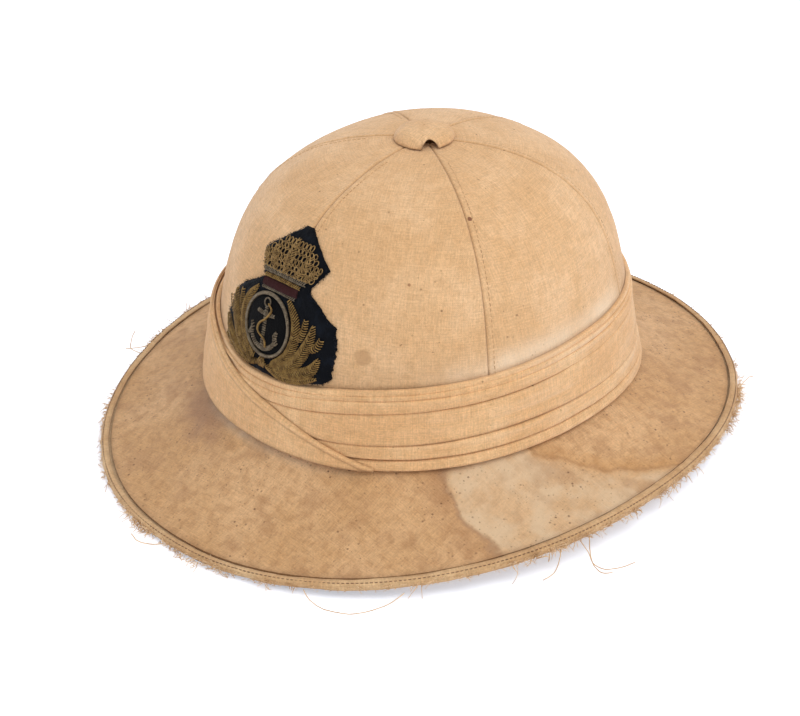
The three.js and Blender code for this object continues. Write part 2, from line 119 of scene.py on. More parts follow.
# ---------------------------------------------------------------- the helmet's form
@dataclass(frozen=True)
class HelmetForm:
    """Sizes that every layer of the helmet is laid on."""

    rim_half_width: float = 147.5
    rim_half_length: float = 170.0
    rim_power: float = 2.1
    lift_mean: float = 4.3
    lift_sides: float = 4.6
    lift_roll: float = 1.2
    lift_twist: float = 1.8
    half_width: float = 81.0
    half_length: float = 88.2
    power: float = 2.17
    base: float = 30.0
    top: float = 144.5
    shoulder: float = 5.0
    roundness: float = 2.4
    taper: float = 0.22
    centre: float = 0.6
    lean: float = 3.0
    cover_inset: float = 5.3
    cover_top: float = 3.8
    brim_fall: float = 1.3
    foot_lift: float = 0.4

    def plan(self, azimuth: Array, width: float, length: float, power: float) -> Array:
        """Radius of a superellipse at an azimuth in degrees."""
        turn = np.radians(azimuth)
        return (np.abs(np.sin(turn) / width) ** power + np.abs(np.cos(turn) / length) ** power) ** (-1 / power)

    def share(self, z: Array) -> Array:
        """Share of the crown's height at a height above the ground."""
        return (z - self.base) / (self.top - self.base)

    def scale(self, h: Array) -> Array:
        """Share of the full plan size left at a share of the height."""
        rounded = np.maximum(1 - np.clip(h, 0, 1) ** self.shoulder, 0) ** (1 / self.roundness)
        return rounded * (1 + self.taper * (1 - h))

    def crown(self, azimuth: Array, h: Array, offset: Array | float = 0.0) -> Array:
        """Points on the crown cloth, moved out by an offset.

        Args:
            azimuth: Degrees.
            h: Share of the crown's height.
            offset: Distance out from the cloth.

        Returns:
            Points in millimetres.
        """
        radius = self.plan(azimuth, self.half_width, self.half_length, self.power) * self.scale(h) + offset
        turn = np.radians(azimuth)
        level = np.clip(h, 0, 1)
        y = self.centre + self.lean * level - radius * np.cos(turn)
        z = self.base + h * (self.top + offset * level - self.base)
        return np.stack(np.broadcast_arrays(radius * np.sin(turn), y, z), -1)

    def foot(self, azimuth: Array) -> Array:
        """Height of the puggaree's lower edge."""
        turn = np.radians(azimuth)
        return 27 + 4 * np.cos(turn) - 2 * np.cos(2 * turn)

    def head(self, azimuth: Array) -> Array:
        """Height of the puggaree's upper edge, which dips under the badge."""
        turn = np.radians(azimuth)
        away = (np.asarray(azimuth) + 7 + 180) % 360 - 180
        return 69 - 0.5 * np.cos(turn) - 1.5 * np.cos(2 * turn) - 7.4 * bump(away, 25)

    def rest(self, azimuth: Array) -> Array:
        """Height of the brim's lowest edge."""
        turn = np.radians(azimuth)
        lift = self.lift_mean - self.lift_sides * np.cos(2 * turn)
        return np.maximum(0, lift - self.lift_roll * np.sin(turn) + self.lift_twist * np.sin(2 * turn))

    def rim(self, azimuth: Array, inset: Array | float, height: Array | float) -> Array:
        """Points near the rim, by inset from the outermost edge and height over the resting edge."""
        radius = self.plan(azimuth, self.rim_half_width, self.rim_half_length, self.rim_power) - inset
        turn = np.radians(azimuth)
        z = self.rest(azimuth) + height
        return np.stack(np.broadcast_arrays(radius * np.sin(turn), -radius * np.cos(turn), z), -1)

    def brim(self, azimuth: Array, u: Array, drop: Array | float = 0.0, start: float = 0.0) -> Array:
        """Points on the brim's top face.

        Args:
            azimuth: Degrees.
            u: 0 at the crown, 1 at the binding.
            drop: Distance below the cloth.
            start: Offset from the crown at which u begins.

        Returns:
            Points in millimetres.
        """
        root = self.foot(azimuth) - self.foot_lift
        inner = self.crown(azimuth, self.share(root), start)
        outer = self.rim(azimuth, self.cover_inset, self.cover_top)
        points = inner + (outer - inner) * np.asarray(u)[..., None]
        points[..., 2] = outer[..., 2] + (root - outer[..., 2]) * np.maximum(1 - u, 0) ** self.brim_fall - drop
        return points

    def front(self, x: Array, z: Array, offset: Array | float) -> Array:
        """Points on the front of the crown, by distance across and height."""
        h = self.share(z)
        width = self.half_width * self.scale(h) + offset
        length = self.half_length * self.scale(h) + offset
        inner = np.maximum(1 - np.abs(x / width) ** self.power, 0) ** (1 / self.power)
        y = self.centre + self.lean * h - length * inner
        return np.stack(np.broadcast_arrays(x, y, z), -1)


FORM = HelmetForm()


# ---------------------------------------------------------------- meshes
def normals(points: Array, wrap: bool) -> Array:
    """Unit normals of a grid of points, pointing away from the helmet's axis or up."""
    along = np.gradient(points, axis=0)
    across = (np.roll(points, -1, 1) - np.roll(points, 1, 1)) if wrap else np.gradient(points, axis=1)
    normal = np.cross(across, along)
    normal /= np.linalg.norm(normal, axis=-1, keepdims=True) + 1e-12
    middle = tuple(size // 2 for size in points.shape[:2])
    out = points[middle] - np.array([0, 0, 20.0])
    return normal if normal[middle] @ out > 0 else -normal


def plate(name: str, outer: Array, inner: Array, wrap: bool = False, maps: dict[str, Array] | None = None,
          shades: dict[str, Array] | None = None) -> bpy.types.Object:
    """Make a closed sheet from its outer and inner face.

    Args:
        name: The piece's name.
        outer: Grid of points on the outer face, in millimetres.
        inner: The same grid on the inner face.
        wrap: Whether the last column joins the first.
        maps: UV maps, by name, each a grid with one more column than the points where they wrap.
        shades: Numbers from 0 to 1 on every point, by name.

    Returns:
        The new object.
    """
    rows, columns = outer.shape[:2]
    count = rows * columns
    r, c = np.meshgrid(np.arange(rows - 1), np.arange(columns if wrap else columns - 1), indexing="ij")
    r, c = r.ravel(), c.ravel()
    corners = [(r, c), (r, c + 1), (r + 1, c + 1), (r + 1, c)]
    point = [row * columns + column % columns for row, column in corners]
    quads = [np.stack(point, 1), np.stack(point[::-1], 1) + count]
    places = [np.stack([np.stack(p, 1) for p in corners], 1), np.stack([np.stack(p, 1) for p in corners[::-1]], 1)]

    def rim(first: Array, second: Array) -> None:
        """Close one edge between two runs of (row, column) corners."""
        a = first[:, 0] * columns + first[:, 1] % columns
        b = second[:, 0] * columns + second[:, 1] % columns
        quads.append(np.stack([b, a, a + count, b + count], 1))
        places.append(np.stack([second, first, first, second], 1))

    across = np.arange(columns if wrap else columns - 1)
    down = np.arange(rows - 1)
    rim(np.stack([0 * across, across], 1), np.stack([0 * across, across + 1], 1))
    rim(np.stack([0 * across + rows - 1, across + 1], 1), np.stack([0 * across + rows - 1, across], 1))
    if not wrap:
        rim(np.stack([down + 1, 0 * down], 1), np.stack([down, 0 * down], 1))
        rim(np.stack([down, 0 * down + columns - 1], 1), np.stack([down + 1, 0 * down + columns - 1], 1))
    faces, places = np.concatenate(quads), np.concatenate(places)
    points = np.concatenate([outer.reshape(-1, 3), inner.reshape(-1, 3)])
    a, b, c_, d = (points[faces[:, k]] for k in range(4))
    volume = np.einsum("ij,ij->i", a, np.cross(b, c_) + np.cross(c_, d)).sum()
    if volume < 0:
        faces, places = faces[:, ::-1], places[:, ::-1]
    mesh = bpy.data.meshes.new(name)
    mesh.vertices.add(len(points))
    mesh.vertices.foreach_set("co", (points * MM).ravel())
    mesh.loops.add(faces.size)
    mesh.loops.foreach_set("vertex_index", np.ascontiguousarray(faces).ravel().astype(np.int32))
    mesh.polygons.add(len(faces))
    mesh.polygons.foreach_set("loop_start", np.arange(0, faces.size, 4, dtype=np.int32))
    mesh.update(calc_edges=True)
    for key, grid in (maps or {}).items():
        layer = mesh.uv_layers.new(name=key)
        layer.uv.foreach_set("vector", grid[places[..., 0], places[..., 1]].reshape(-1).astype(np.float32))
    for key, grid in (shades or {}).items():
        layer = mesh.attributes.new(key, "FLOAT", "POINT")
        layer.data.foreach_set("value", np.concatenate([grid.ravel(), grid.ravel()]).astype(np.float32))
    mesh.shade_smooth()
    mesh.set_sharp_from_angle(angle=math.radians(60))
    piece = bpy.data.objects.new(name, mesh)
    bpy.context.scene.collection.objects.link(piece)
    return piece


def curve_object(name: str, paths: Sequence[Array], closed: bool = False) -> bpy.types.Object:
    """Make a curve object of straight-sided splines.

    Args:
        name: The object's name.
        paths: Runs of points in millimetres.
        closed: Whether each run ends where it starts.

    Returns:
        The new object.
    """
    curve = bpy.data.curves.new(name, "CURVE")
    curve.dimensions = "3D"
    for path in paths:
        spline = curve.splines.new("POLY")
        spline.points.add(len(path) - 1)
        rows = np.concatenate([np.asarray(path) * MM, np.ones((len(path), 1))], axis=1)
        spline.points.foreach_set("co", rows.ravel())
        spline.use_cyclic_u = closed
    piece = bpy.data.objects.new(name, curve)
    bpy.context.scene.collection.objects.link(piece)
    return piece


def add_node(tree: bpy.types.NodeTree, kind: str, inputs: dict | None = None, **settings) -> bpy.types.Node:
    """Add a node with its settings, values and links.

    Args:
        tree: The node tree.
        kind: The node's type name.
        inputs: Values or sockets by input name or number.
        **settings: The node's own properties.

    Returns:
        The new node.
    """
    node = tree.nodes.new(kind)
    for key, value in settings.items():
        setattr(node, key, value)
    for key, value in (inputs or {}).items():
        if isinstance(value, bpy.types.NodeSocket):
            tree.links.new(value, node.inputs[key])
        else:
            node.inputs[key].default_value = value
    return node


class SmallPart(Enum):
    """What a geometry node tree makes along curves."""

    TUBE = "tube"
    STITCH = "stitch"
    FIBRE = "fibre"


@dataclass(frozen=True)
class ThreadWork:
    """A geometry node tree that turns curves into tubes, stitches or loose fibres."""

    part: SmallPart
    radius: float
    pitch: float = 2.0
    length: float = 1.4
    sides: int = 6
    seed: int = 1

    def tree(self) -> bpy.types.NodeTree:
        """Build the node tree with its named inputs."""
        tree = bpy.data.node_groups.new(f"{self.part.value}_work", "GeometryNodeTree")
        tree.interface.new_socket("Geometry", in_out="INPUT", socket_type="NodeSocketGeometry")
        for label in ("Radius", "Pitch", "Length"):
            tree.interface.new_socket(label, in_out="INPUT", socket_type="NodeSocketFloat")
        tree.interface.new_socket("Finish", in_out="INPUT", socket_type="NodeSocketMaterial")
        tree.interface.new_socket("Geometry", in_out="OUTPUT", socket_type="NodeSocketGeometry")
        given = add_node(tree, "NodeGroupInput").outputs
        ring = add_node(tree, "GeometryNodeCurvePrimitiveCircle",
                        {"Resolution": self.sides, "Radius": given["Radius"]}).outputs[0]
        if self.part is SmallPart.TUBE:
            made = self.sweep(tree, given["Geometry"], ring)
        else:
            made = self.scatter(tree, given, ring)
        real = add_node(tree, "GeometryNodeRealizeInstances", {"Geometry": made}).outputs[0]
        dressed = add_node(tree, "GeometryNodeSetMaterial", {"Geometry": real, "Material": given["Finish"]})
        add_node(tree, "NodeGroupOutput", {"Geometry": dressed.outputs[0]})
        return tree

    def sweep(self, tree: bpy.types.NodeTree, curve: bpy.types.NodeSocket,
              ring: bpy.types.NodeSocket) -> bpy.types.NodeSocket:
        """Sweep the ring along a curve, with closed ends."""
        swept = add_node(tree, "GeometryNodeCurveToMesh", {"Curve": curve, "Profile Curve": ring, "Fill Caps": True})
        return swept.outputs[0]

    def scatter(self, tree: bpy.types.NodeTree, given: bpy.types.NodeOutputs,
                ring: bpy.types.NodeSocket) -> bpy.types.NodeSocket:
        """Set short lengths of thread at a pitch along the curves."""
        rows = add_node(tree, "GeometryNodeCurveToPoints", {"Curve": given["Geometry"], "Length": given["Pitch"]},
                        mode="LENGTH").outputs
        half = add_node(tree, "ShaderNodeMath", {0: given["Length"], 1: 0.5}, operation="MULTIPLY").outputs[0]
        ahead = add_node(tree, "ShaderNodeCombineXYZ", {"Z": half}).outputs[0]
        behind = add_node(tree, "ShaderNodeVectorMath", {0: ahead, "Scale": -1.0}, operation="SCALE").outputs[0]
        top = add_node(tree, "ShaderNodeCombineXYZ", {"X": half}).outputs[0]
        if self.part is SmallPart.FIBRE:
            behind = add_node(tree, "ShaderNodeVectorMath", {0: ahead, "Scale": 0.0}, operation="SCALE").outputs[0]
        else:
            top = add_node(tree, "ShaderNodeVectorMath", {0: top, "Scale": 0.25}, operation="SCALE").outputs[0]
        bow = add_node(tree, "GeometryNodeCurveQuadraticBezier",
                       {"Resolution": 4, "Start": behind, "Middle": top, "End": ahead}).outputs[0]
        thread = self.sweep(tree, bow, ring)
        turn = rows["Rotation"]
        size = (1.0, 1.0, 1.0)
        if self.part is SmallPart.FIBRE:
            spin = add_node(tree, "FunctionNodeRandomValue", {0: (-1.7, -1.7, 0.0), 1: (1.7, 1.7, 6.3),
                            "Seed": self.seed}, data_type="FLOAT_VECTOR").outputs[0]
            turn = add_node(tree, "FunctionNodeRotateRotation", {0: turn, 1: spin}, rotation_space="LOCAL").outputs[0]
            size = add_node(tree, "FunctionNodeRandomValue", {2: 0.35, 3: 1.3, "Seed": self.seed + 1},
                            data_type="FLOAT").outputs[1]
        placed = add_node(tree, "GeometryNodeInstanceOnPoints",
                          {"Points": rows["Points"], "Instance": thread, "Rotation": turn, "Scale": size})
        return placed.outputs[0]

    def make(self, name: str, paths: Sequence[Array], finish: bpy.types.Material,
             closed: bool = False) -> bpy.types.Object:
        """Run the tree on curves and return a plain mesh.

        Args:
            name: The piece's name.
            paths: Runs of points in millimetres.
            finish: Its material.
            closed: Whether the curves close on themselves.

        Returns:
            A mesh object with no modifier.
        """
        guide = curve_object(f"{name}_guide", paths, closed)
        tree = self.tree()
        modifier = guide.modifiers.new("thread_work", "NODES")
        modifier.node_group = tree
        values = {"Radius": self.radius * MM, "Pitch": self.pitch * MM, "Length": self.length * MM, "Finish": finish}
        for item in tree.interface.items_tree:
            if item.in_out == "INPUT" and item.name in values:
                modifier[item.identifier] = values[item.name]
        guide.update_tag()
        graph = bpy.context.evaluated_depsgraph_get()
        mesh = bpy.data.meshes.new_from_object(guide.evaluated_get(graph))
        bpy.data.objects.remove(guide)
        mesh.name = name
        mesh.shade_smooth()
        piece = bpy.data.objects.new(name, mesh)
        bpy.context.scene.collection.objects.link(piece)
        return piece


# ---------------------------------------------------------------- finishes
class Shader:
    """A material's node tree, with the few steps that every finish here is built from."""

    def __init__(self, name: str) -> None:
        """Start an empty material with a principled shader."""
        self.material = bpy.data.materials.new(name)
        self.material.use_nodes = True
        self.tree = self.material.node_tree
        self.tree.nodes.clear()
        self.out = add_node(self.tree, "ShaderNodeOutputMaterial")
        place = add_node(self.tree, "ShaderNodeTexCoord").outputs["Object"]
        self.place = self.scaled(place, (1 / MM,) * 3)

    def scaled(self, vector: bpy.types.NodeSocket, by: Sequence[float]) -> bpy.types.NodeSocket:
        """Multiply a vector by another."""
        return add_node(self.tree, "ShaderNodeVectorMath", {0: vector, 1: tuple(by)}, operation="MULTIPLY").outputs[0]

    def uv(self, name: str, by: float = 1 / MM) -> bpy.types.NodeSocket:
        """A UV map, in millimetres by default."""
        return self.scaled(add_node(self.tree, "ShaderNodeUVMap", uv_map=name).outputs[0], (by,) * 3)

    def shade(self, name: str) -> bpy.types.NodeSocket:
        """A number stored on the mesh."""
        return add_node(self.tree, "ShaderNodeAttribute", attribute_name=name).outputs["Fac"]

    def math(self, kind: str, a: object, b: object = 0.0) -> bpy.types.NodeSocket:
        """One arithmetic step on two numbers or sockets."""
        return add_node(self.tree, "ShaderNodeMath", {0: a, 1: b}, operation=kind).outputs[0]

    def noise(self, vector: bpy.types.NodeSocket, size: float, detail: float = 2.0) -> bpy.types.NodeSocket:
        """Noise with bumps of a size in millimetres."""
        made = add_node(self.tree, "ShaderNodeTexNoise", {"Vector": vector, "Scale": 1 / size, "Detail": detail})
        return made.outputs["Fac"]

    def step(self, value: object, low: object, high: object, start: float = 0.0,
             end: float = 1.0) -> bpy.types.NodeSocket:
        """Go smoothly from start to end while the value goes from low to high."""
        return add_node(self.tree, "ShaderNodeMapRange", {"Value": value, "From Min": low, "From Max": high,
                        "To Min": start, "To Max": end}, interpolation_type="SMOOTHSTEP").outputs[0]

    def grey(self, value: bpy.types.NodeSocket) -> bpy.types.NodeSocket:
        """Turn a number into a grey colour."""
        return add_node(self.tree, "ShaderNodeCombineColor", {0: value, 1: value, 2: value}).outputs[0]

    def blend(self, amount: object, a: object, b: object, how: str = "MIX") -> bpy.types.NodeSocket:
        """Mix two colours."""
        return add_node(self.tree, "ShaderNodeMix", {0: amount, 6: a, 7: b}, data_type="RGBA",
                        blend_type=how).outputs[2]

    def specks(self, size: float, radius: float, share: float) -> bpy.types.NodeSocket:
        """Small round marks: one place in each cell of a size, a share of them kept."""
        cells = add_node(self.tree, "ShaderNodeTexVoronoi", {"Vector": self.place, "Scale": 1 / size}).outputs
        warp = self.math("MULTIPLY", self.noise(self.place, radius * 1.2), radius * 0.9 / size)
        near = self.step(self.math("ADD", cells["Distance"], warp), radius * 1.1 / size, radius * 1.7 / size, 1.0, 0.0)
        pick = add_node(self.tree, "ShaderNodeSeparateColor", {0: cells["Color"]}).outputs
        kept = self.math("MULTIPLY", near, self.step(pick[0], share, share + 0.02, 1.0, 0.0))
        crowd = self.step(self.noise(self.place, 19, 3), 0.40, 0.62, 0.25, 1.0)
        return self.math("MULTIPLY", kept, self.math("MULTIPLY", crowd, self.step(pick[1], 0.0, 1.0, 0.45, 1.0)))

    def finish(self, colour: object, roughness: object, height: object | None, depth: float,
               **fixed: float) -> bpy.types.Material:
        """Close the tree with a principled shader.

        Args:
            colour: Base colour.
            roughness: Number or socket.
            height: Bump height, or None.
            depth: How deep the bump is, in millimetres.
            **fixed: Values for the shader's own sockets, with underscores for spaces.

        Returns:
            The material.
        """
        inputs = {"Base Color": colour, "Roughness": roughness}
        inputs.update({key.replace("_", " "): value for key, value in fixed.items()})
        if height is not None:
            inputs["Normal"] = add_node(self.tree, "ShaderNodeBump",
                                        {"Height": height, "Distance": depth * MM, "Strength": 1.0}).outputs[0]
        shader = add_node(self.tree, "ShaderNodeBsdfPrincipled", inputs)
        self.tree.links.new(shader.outputs[0], self.out.inputs[0])
        return self.material


@dataclass(frozen=True)
class CottonDrill:
    """Sun-faded cotton drill: matt, a little napped, with slubs, mottling and grime in its weave, and painted shade and
    painted highlight where a piece asks for them.
    """

    name: str
    main: str
    pale: str
    dark: str
    # Dark colour for the specks of grime and for the painted shade.
    dirt_and_shade: str = "#6b4526"
    speck_share: float = 0.10
    mottle: float = 0.30
    thread: float = 0.8  # drawn coarser than the real 0.4 mm so that it shows
    stains: Callable[["Shader", object], object] | None = None

    def material(self) -> bpy.types.Material:
        """Build the cloth's material."""
        s = Shader(self.name)
        cloth = s.uv("cloth")
        weft = s.noise(s.scaled(cloth, (0.10, 1.9, 1)), 1.0, 3)
        warp = s.noise(s.scaled(cloth, (1.9, 0.10, 1)), 1.0, 3)
        slub = s.math("ADD", weft, warp)
        broad = s.step(s.noise(s.place, 34, 4), 0.38, 0.64)
        close = s.step(s.noise(s.place, 4.6, 6), 0.40, 0.70)
        colour = s.blend(broad, linear(self.main), linear(self.pale))
        colour = s.blend(s.math("MULTIPLY", close, self.mottle), colour, linear(self.dark))
        colour = s.blend(1.0, colour, s.grey(s.step(slub, 0.72, 1.30, 0.87, 1.08)), "MULTIPLY")
        colour = s.blend(1.0, colour, s.grey(s.step(s.noise(s.place, 0.9, 3), 0.30, 0.70, 0.90, 1.07)), "MULTIPLY")
        streak = s.noise(s.scaled(s.place, (1.9, 0.7, 1.9)), 1.0, 3)
        colour = s.blend(s.step(streak, 0.52, 0.78, 0.0, self.mottle * 0.6), colour, linear(self.dark))
        if self.stains:
            colour = self.stains(s, colour)
        # Paler where a piece asks: a real salt mark on the brim, and painted highlight on the crown and the puggaree.
        colour = s.blend(s.math("MULTIPLY", s.shade("bleach"), 0.6), colour, linear("#f3dfc3"))
        # Darker where a piece asks: along the crown's seams, and painted shade along edges, joins and creases.
        colour = s.blend(s.math("MULTIPLY", s.shade("soil"), 0.75), colour, linear(self.dirt_and_shade))
        colour = s.blend(s.math("MULTIPLY", s.specks(3.0, 0.56, self.speck_share), 0.85), colour, linear(self.dirt_and_shade))
        colour = s.blend(s.math("MULTIPLY", s.specks(1.5, 0.30, self.speck_share), 0.70), colour, linear(self.dirt_and_shade))
        parts = add_node(s.tree, "ShaderNodeSeparateXYZ", {0: cloth}).outputs
        wave = [s.math("SINE", s.math("MULTIPLY", parts[axis], 2 * math.pi / self.thread)) for axis in (0, 1)]
        weave = s.math("MULTIPLY", wave[0], wave[1])
        height = s.math("ADD", s.math("MULTIPLY", weave, 0.35), s.math("MULTIPLY", slub, 1.5))
        height = s.math("ADD", height, s.math("MULTIPLY", s.noise(s.place, 1.3, 3), 0.8))
        return s.finish(colour, 0.88, height, 0.16, Sheen_Weight=0.18, Sheen_Roughness=0.5, Specular_IOR_Level=0.25)


def brim_stains(s: Shader, colour: object) -> object:
    """Water and rust marks on the brim.

    Args:
        s: The shader being built.
        colour: The cloth's colour so far.

    Returns:
        The stained colour.
    """
    parts = add_node(s.tree, "ShaderNodeSeparateXYZ", {0: s.uv("place", 1.0)}).outputs
    wander = s.math("SUBTRACT", s.noise(s.place, 13, 4), 0.5)
    azimuth = s.math("ADD", s.math("MULTIPLY", parts[0], 100.0), s.math("MULTIPLY", wander, 8.0))
    out = parts[1]
    left = s.math("ADD", s.math("MULTIPLY", s.math("POWER", out, 1.6), 9.5), 46.5)
    right = s.math("ADD", s.math("MULTIPLY", s.math("POWER", out, 1.15), 28.0), 70.5)
    past_left = s.math("SUBTRACT", azimuth, left)
    past_right = s.math("SUBTRACT", azimuth, right)
    washed = s.math("MULTIPLY", s.step(past_left, -1.6, 1.8), s.step(past_right, -5.5, 0.6, 1.0, 0.0))
    colour = s.blend(s.math("MULTIPLY", washed, s.step(s.noise(s.place, 15, 4), 0.36, 0.64, 0.30, 0.78)), colour,
                     linear("#dabf9c"))
    rust = s.math("MULTIPLY", s.step(past_right, -2.2, 0.4), s.step(past_right, 0.4, 10.0, 1.0, 0.0))
    colour = s.blend(s.math("MULTIPLY", rust, 0.30), colour, linear("#b8803f"))
    edge = s.math("MULTIPLY", s.step(past_right, -1.3, -0.1), s.step(past_right, 0.0, 1.7, 1.0, 0.0))
    colour = s.blend(s.math("MULTIPLY", edge, 0.30), colour, linear("#8d6647"))
    tide = s.math("MULTIPLY", s.step(past_left, -1.5, -0.2), s.step(past_left, -0.1, 1.0, 1.0, 0.0))
    colour = s.blend(s.math("MULTIPLY", tide, 0.45), colour, linear("#8f6c52"))
    before = s.math("MULTIPLY", s.step(past_left, -9.0, -0.5), s.step(past_left, -0.5, 0.2, 1.0, 0.0))
    colour = s.blend(s.math("MULTIPLY", before, 0.30), colour, linear("#a4744c"))
    across = s.math("DIVIDE", s.math("ADD", azimuth, 24.0), 15.0)
    along = s.math("DIVIDE", s.math("SUBTRACT", out, 0.13), 0.26)
    reach = s.math("SQRT", s.math("ADD", s.math("MULTIPLY", across, across), s.math("MULTIPLY", along, along)))
    purple = s.step(s.math("ADD", reach, wander), 0.15, 1.25, 1.0, 0.0)
    colour = s.blend(s.math("MULTIPLY", purple, 0.55), colour, linear("#8e6a58"))
    grime = s.step(s.noise(s.place, 17, 5), 0.50, 0.66)
    return s.blend(s.math("MULTIPLY", grime, 0.34), colour, linear("#9a6b42"))


def crown_stains(s: Shader, colour: object) -> object:
    """The round water spot and the brown drop on the crown.

    Args:
        s: The shader being built.
        colour: The cloth's colour so far.

    Returns:
        The stained colour.
    """
    spots = ((26.3, 81.0, 3.9, "#b98f64", 0.62), (61.5, 131.0, 1.1, "#6e3a24", 0.85), (38.0, 112.0, 0.7, "#8a5a3a", 0.7))
    for azimuth, z, radius, dark, strength in spots:
        place = FORM.crown(np.array(azimuth), FORM.share(np.array(z)))
        gap = add_node(s.tree, "ShaderNodeVectorMath", {0: s.place, 1: tuple(float(v) for v in place)},
                       operation="DISTANCE").outputs["Value"]
        gap = s.math("ADD", gap, s.math("MULTIPLY", s.noise(s.place, radius * 0.8), radius * 0.5))
        mark = s.step(gap, radius * 1.05, radius * 1.45, strength, 0.0)
        colour = s.blend(mark, colour, linear(dark))
    return colour


@dataclass(frozen=True)
class Bullion:
    """Tarnished bullion: tight coils of fine gilt or silvered wire, dull in the hollows."""

    name: str
    bright: str
    dull: str
    roughness: float = 0.42
    coil: float = 0.45  # drawn coarser than the real 0.15 mm

    def material(self) -> bpy.types.Material:
        """Build the wire's material."""
        s = Shader(self.name)
        tarnish = s.step(s.noise(s.place, 2.2, 3), 0.34, 0.72, 0.0, 0.65)
        colour = s.blend(tarnish, linear(self.bright), linear(self.dull))
        colour = s.blend(s.step(s.noise(s.place, 0.6, 2), 0.48, 0.8), colour, linear(self.dull))
        turns = s.noise(s.place, self.coil, 1)
        rough = s.step(tarnish, 0.0, 1.0, self.roughness, self.roughness + 0.25)
        return s.finish(colour, rough, turns, 0.18, Metallic=0.85)


@dataclass(frozen=True)
class Pile:
    """Felt or velvet: matt fibres that catch a little light at a glancing angle."""

    name: str
    main: str
    worn: str
    sheen: float = 0.3
    grain: float = 0.9

    def material(self) -> bpy.types.Material:
        """Build the pile's material."""
        s = Shader(self.name)
        wear = s.step(s.noise(s.place, 5, 5), 0.46, 0.72)
        colour = s.blend(s.math("MULTIPLY", wear, 0.6), linear(self.main), linear(self.worn))
        return s.finish(colour, 0.95, s.noise(s.place, self.grain, 4), 0.35, Sheen_Weight=self.sheen,
                        Sheen_Roughness=0.4, Specular_IOR_Level=0.1)


@dataclass(frozen=True)
class EdgeLeather:
    """Thin vegetable-tanned leather, dark with age and rubbed brown along its edges."""

    name: str = "rubbed_brown_leather"
    main: str = "#3a2517"
    rubbed: str = "#7a5334"

    def material(self) -> bpy.types.Material:
        """Build the leather's material."""
        s = Shader(self.name)
        wear = s.step(s.noise(s.place, 7, 5), 0.48, 0.68)
        colour = s.blend(wear, linear(self.main), linear(self.rubbed))
        grain = add_node(s.tree, "ShaderNodeTexVoronoi", {"Vector": s.place, "Scale": 1 / 0.9}).outputs["Distance"]
        return s.finish(colour, s.step(wear, 0.0, 1.0, 0.5, 0.75), grain, 0.12)


@dataclass(frozen=True)
class ThreadFinish:
    """Cotton thread: matt, twisted, a little darker where it is handled."""

    name: str
    main: str
    worn: str

    def material(self) -> bpy.types.Material:
        """Build the thread's material."""
        s = Shader(self.name)
        colour = s.blend(s.step(s.noise(s.place, 9, 3), 0.4, 0.65), linear(self.main), linear(self.worn))
        return s.finish(colour, 0.85, s.noise(s.place, 0.35, 2), 0.08, Sheen_Weight=0.2)


class Finishes:
    """Every finish of the helmet, made once."""

    def __init__(self) -> None:
        """Build the materials."""
        self.crown = CottonDrill("faded_cotton_drill", "#dcb07f", "#e6bd8f", "#cc9c69", speck_share=0.05,
                                 stains=crown_stains).material()
        # The brim's dark colour serves its specks of grime and its painted shade.
        self.brim = CottonDrill("soiled_cotton_drill", "#cda06f", "#d9ae7f", "#a97b4e", dirt_and_shade="#553520", speck_share=0.45, mottle=0.42,
                                stains=brim_stains).material()
        self.puggaree = CottonDrill("folded_cotton_muslin", "#e6b681", "#efc491", "#d09d66", speck_share=0.02,
                                    thread=0.6).material()
        self.binding = CottonDrill("rolled_cotton_tape", "#cda475", "#dcb88a", "#ab7d50", speck_share=0.10).material()
        self.facing = CottonDrill("plain_cotton_facing", "#c9a67c", "#d6b68d", "#b48e64", speck_share=0.03).material()
        self.leather = EdgeLeather().material()
        self.thread = ThreadFinish("waxed_cotton_thread", "#c39a6c", "#a47a50").material()
        self.fray = ThreadFinish("frayed_cotton_yarn", "#e2c095", "#c59c6c").material()
        self.hole = ThreadFinish("soiled_stitch_thread", "#7d5434", "#5e3c24").material()
        self.felt = Pile("navy_wool_felt", "#090b10", "#151a23", sheen=0.12).material()
        self.velvet = Pile("black_silk_velvet", "#050506", "#0d0d10", sheen=0.08, grain=0.5).material()
        self.red = Pile("worn_red_velvet", "#331716", "#47292a", sheen=0.1, grain=0.6).material()
        self.gold = Bullion("tarnished_gilt_bullion", "#a7864f", "#553f27").material()
        self.pale_gold = Bullion("brighter_gilt_bullion", "#ad8c5a", "#5a452b", roughness=0.36).material()
        self.silver = Bullion("tarnished_silver_wire", "#8b7d68", "#4d4235", roughness=0.38).material()


# ---------------------------------------------------------------- sub-assemblies
def settle(piece: bpy.types.Object, finish: bpy.types.Material | None, slot: str, *nodes: str) -> bpy.types.Object:
    """Give a piece its finish, its body and the CAD nodes that it stands for.

    Args:
        piece: The finished object.
        finish: Its material, or None where it has one already.
        slot: Not used.
        *nodes: CAD nodes that it replaces.

    Returns:
        The same object.
    """
    if finish:
        piece.data.materials.clear()
        piece.data.materials.append(finish)
    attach(piece, "root")
    if nodes:
        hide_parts(*nodes)
    LOG.info("%s: %d faces", piece.name, len(piece.data.polygons))
    return piece


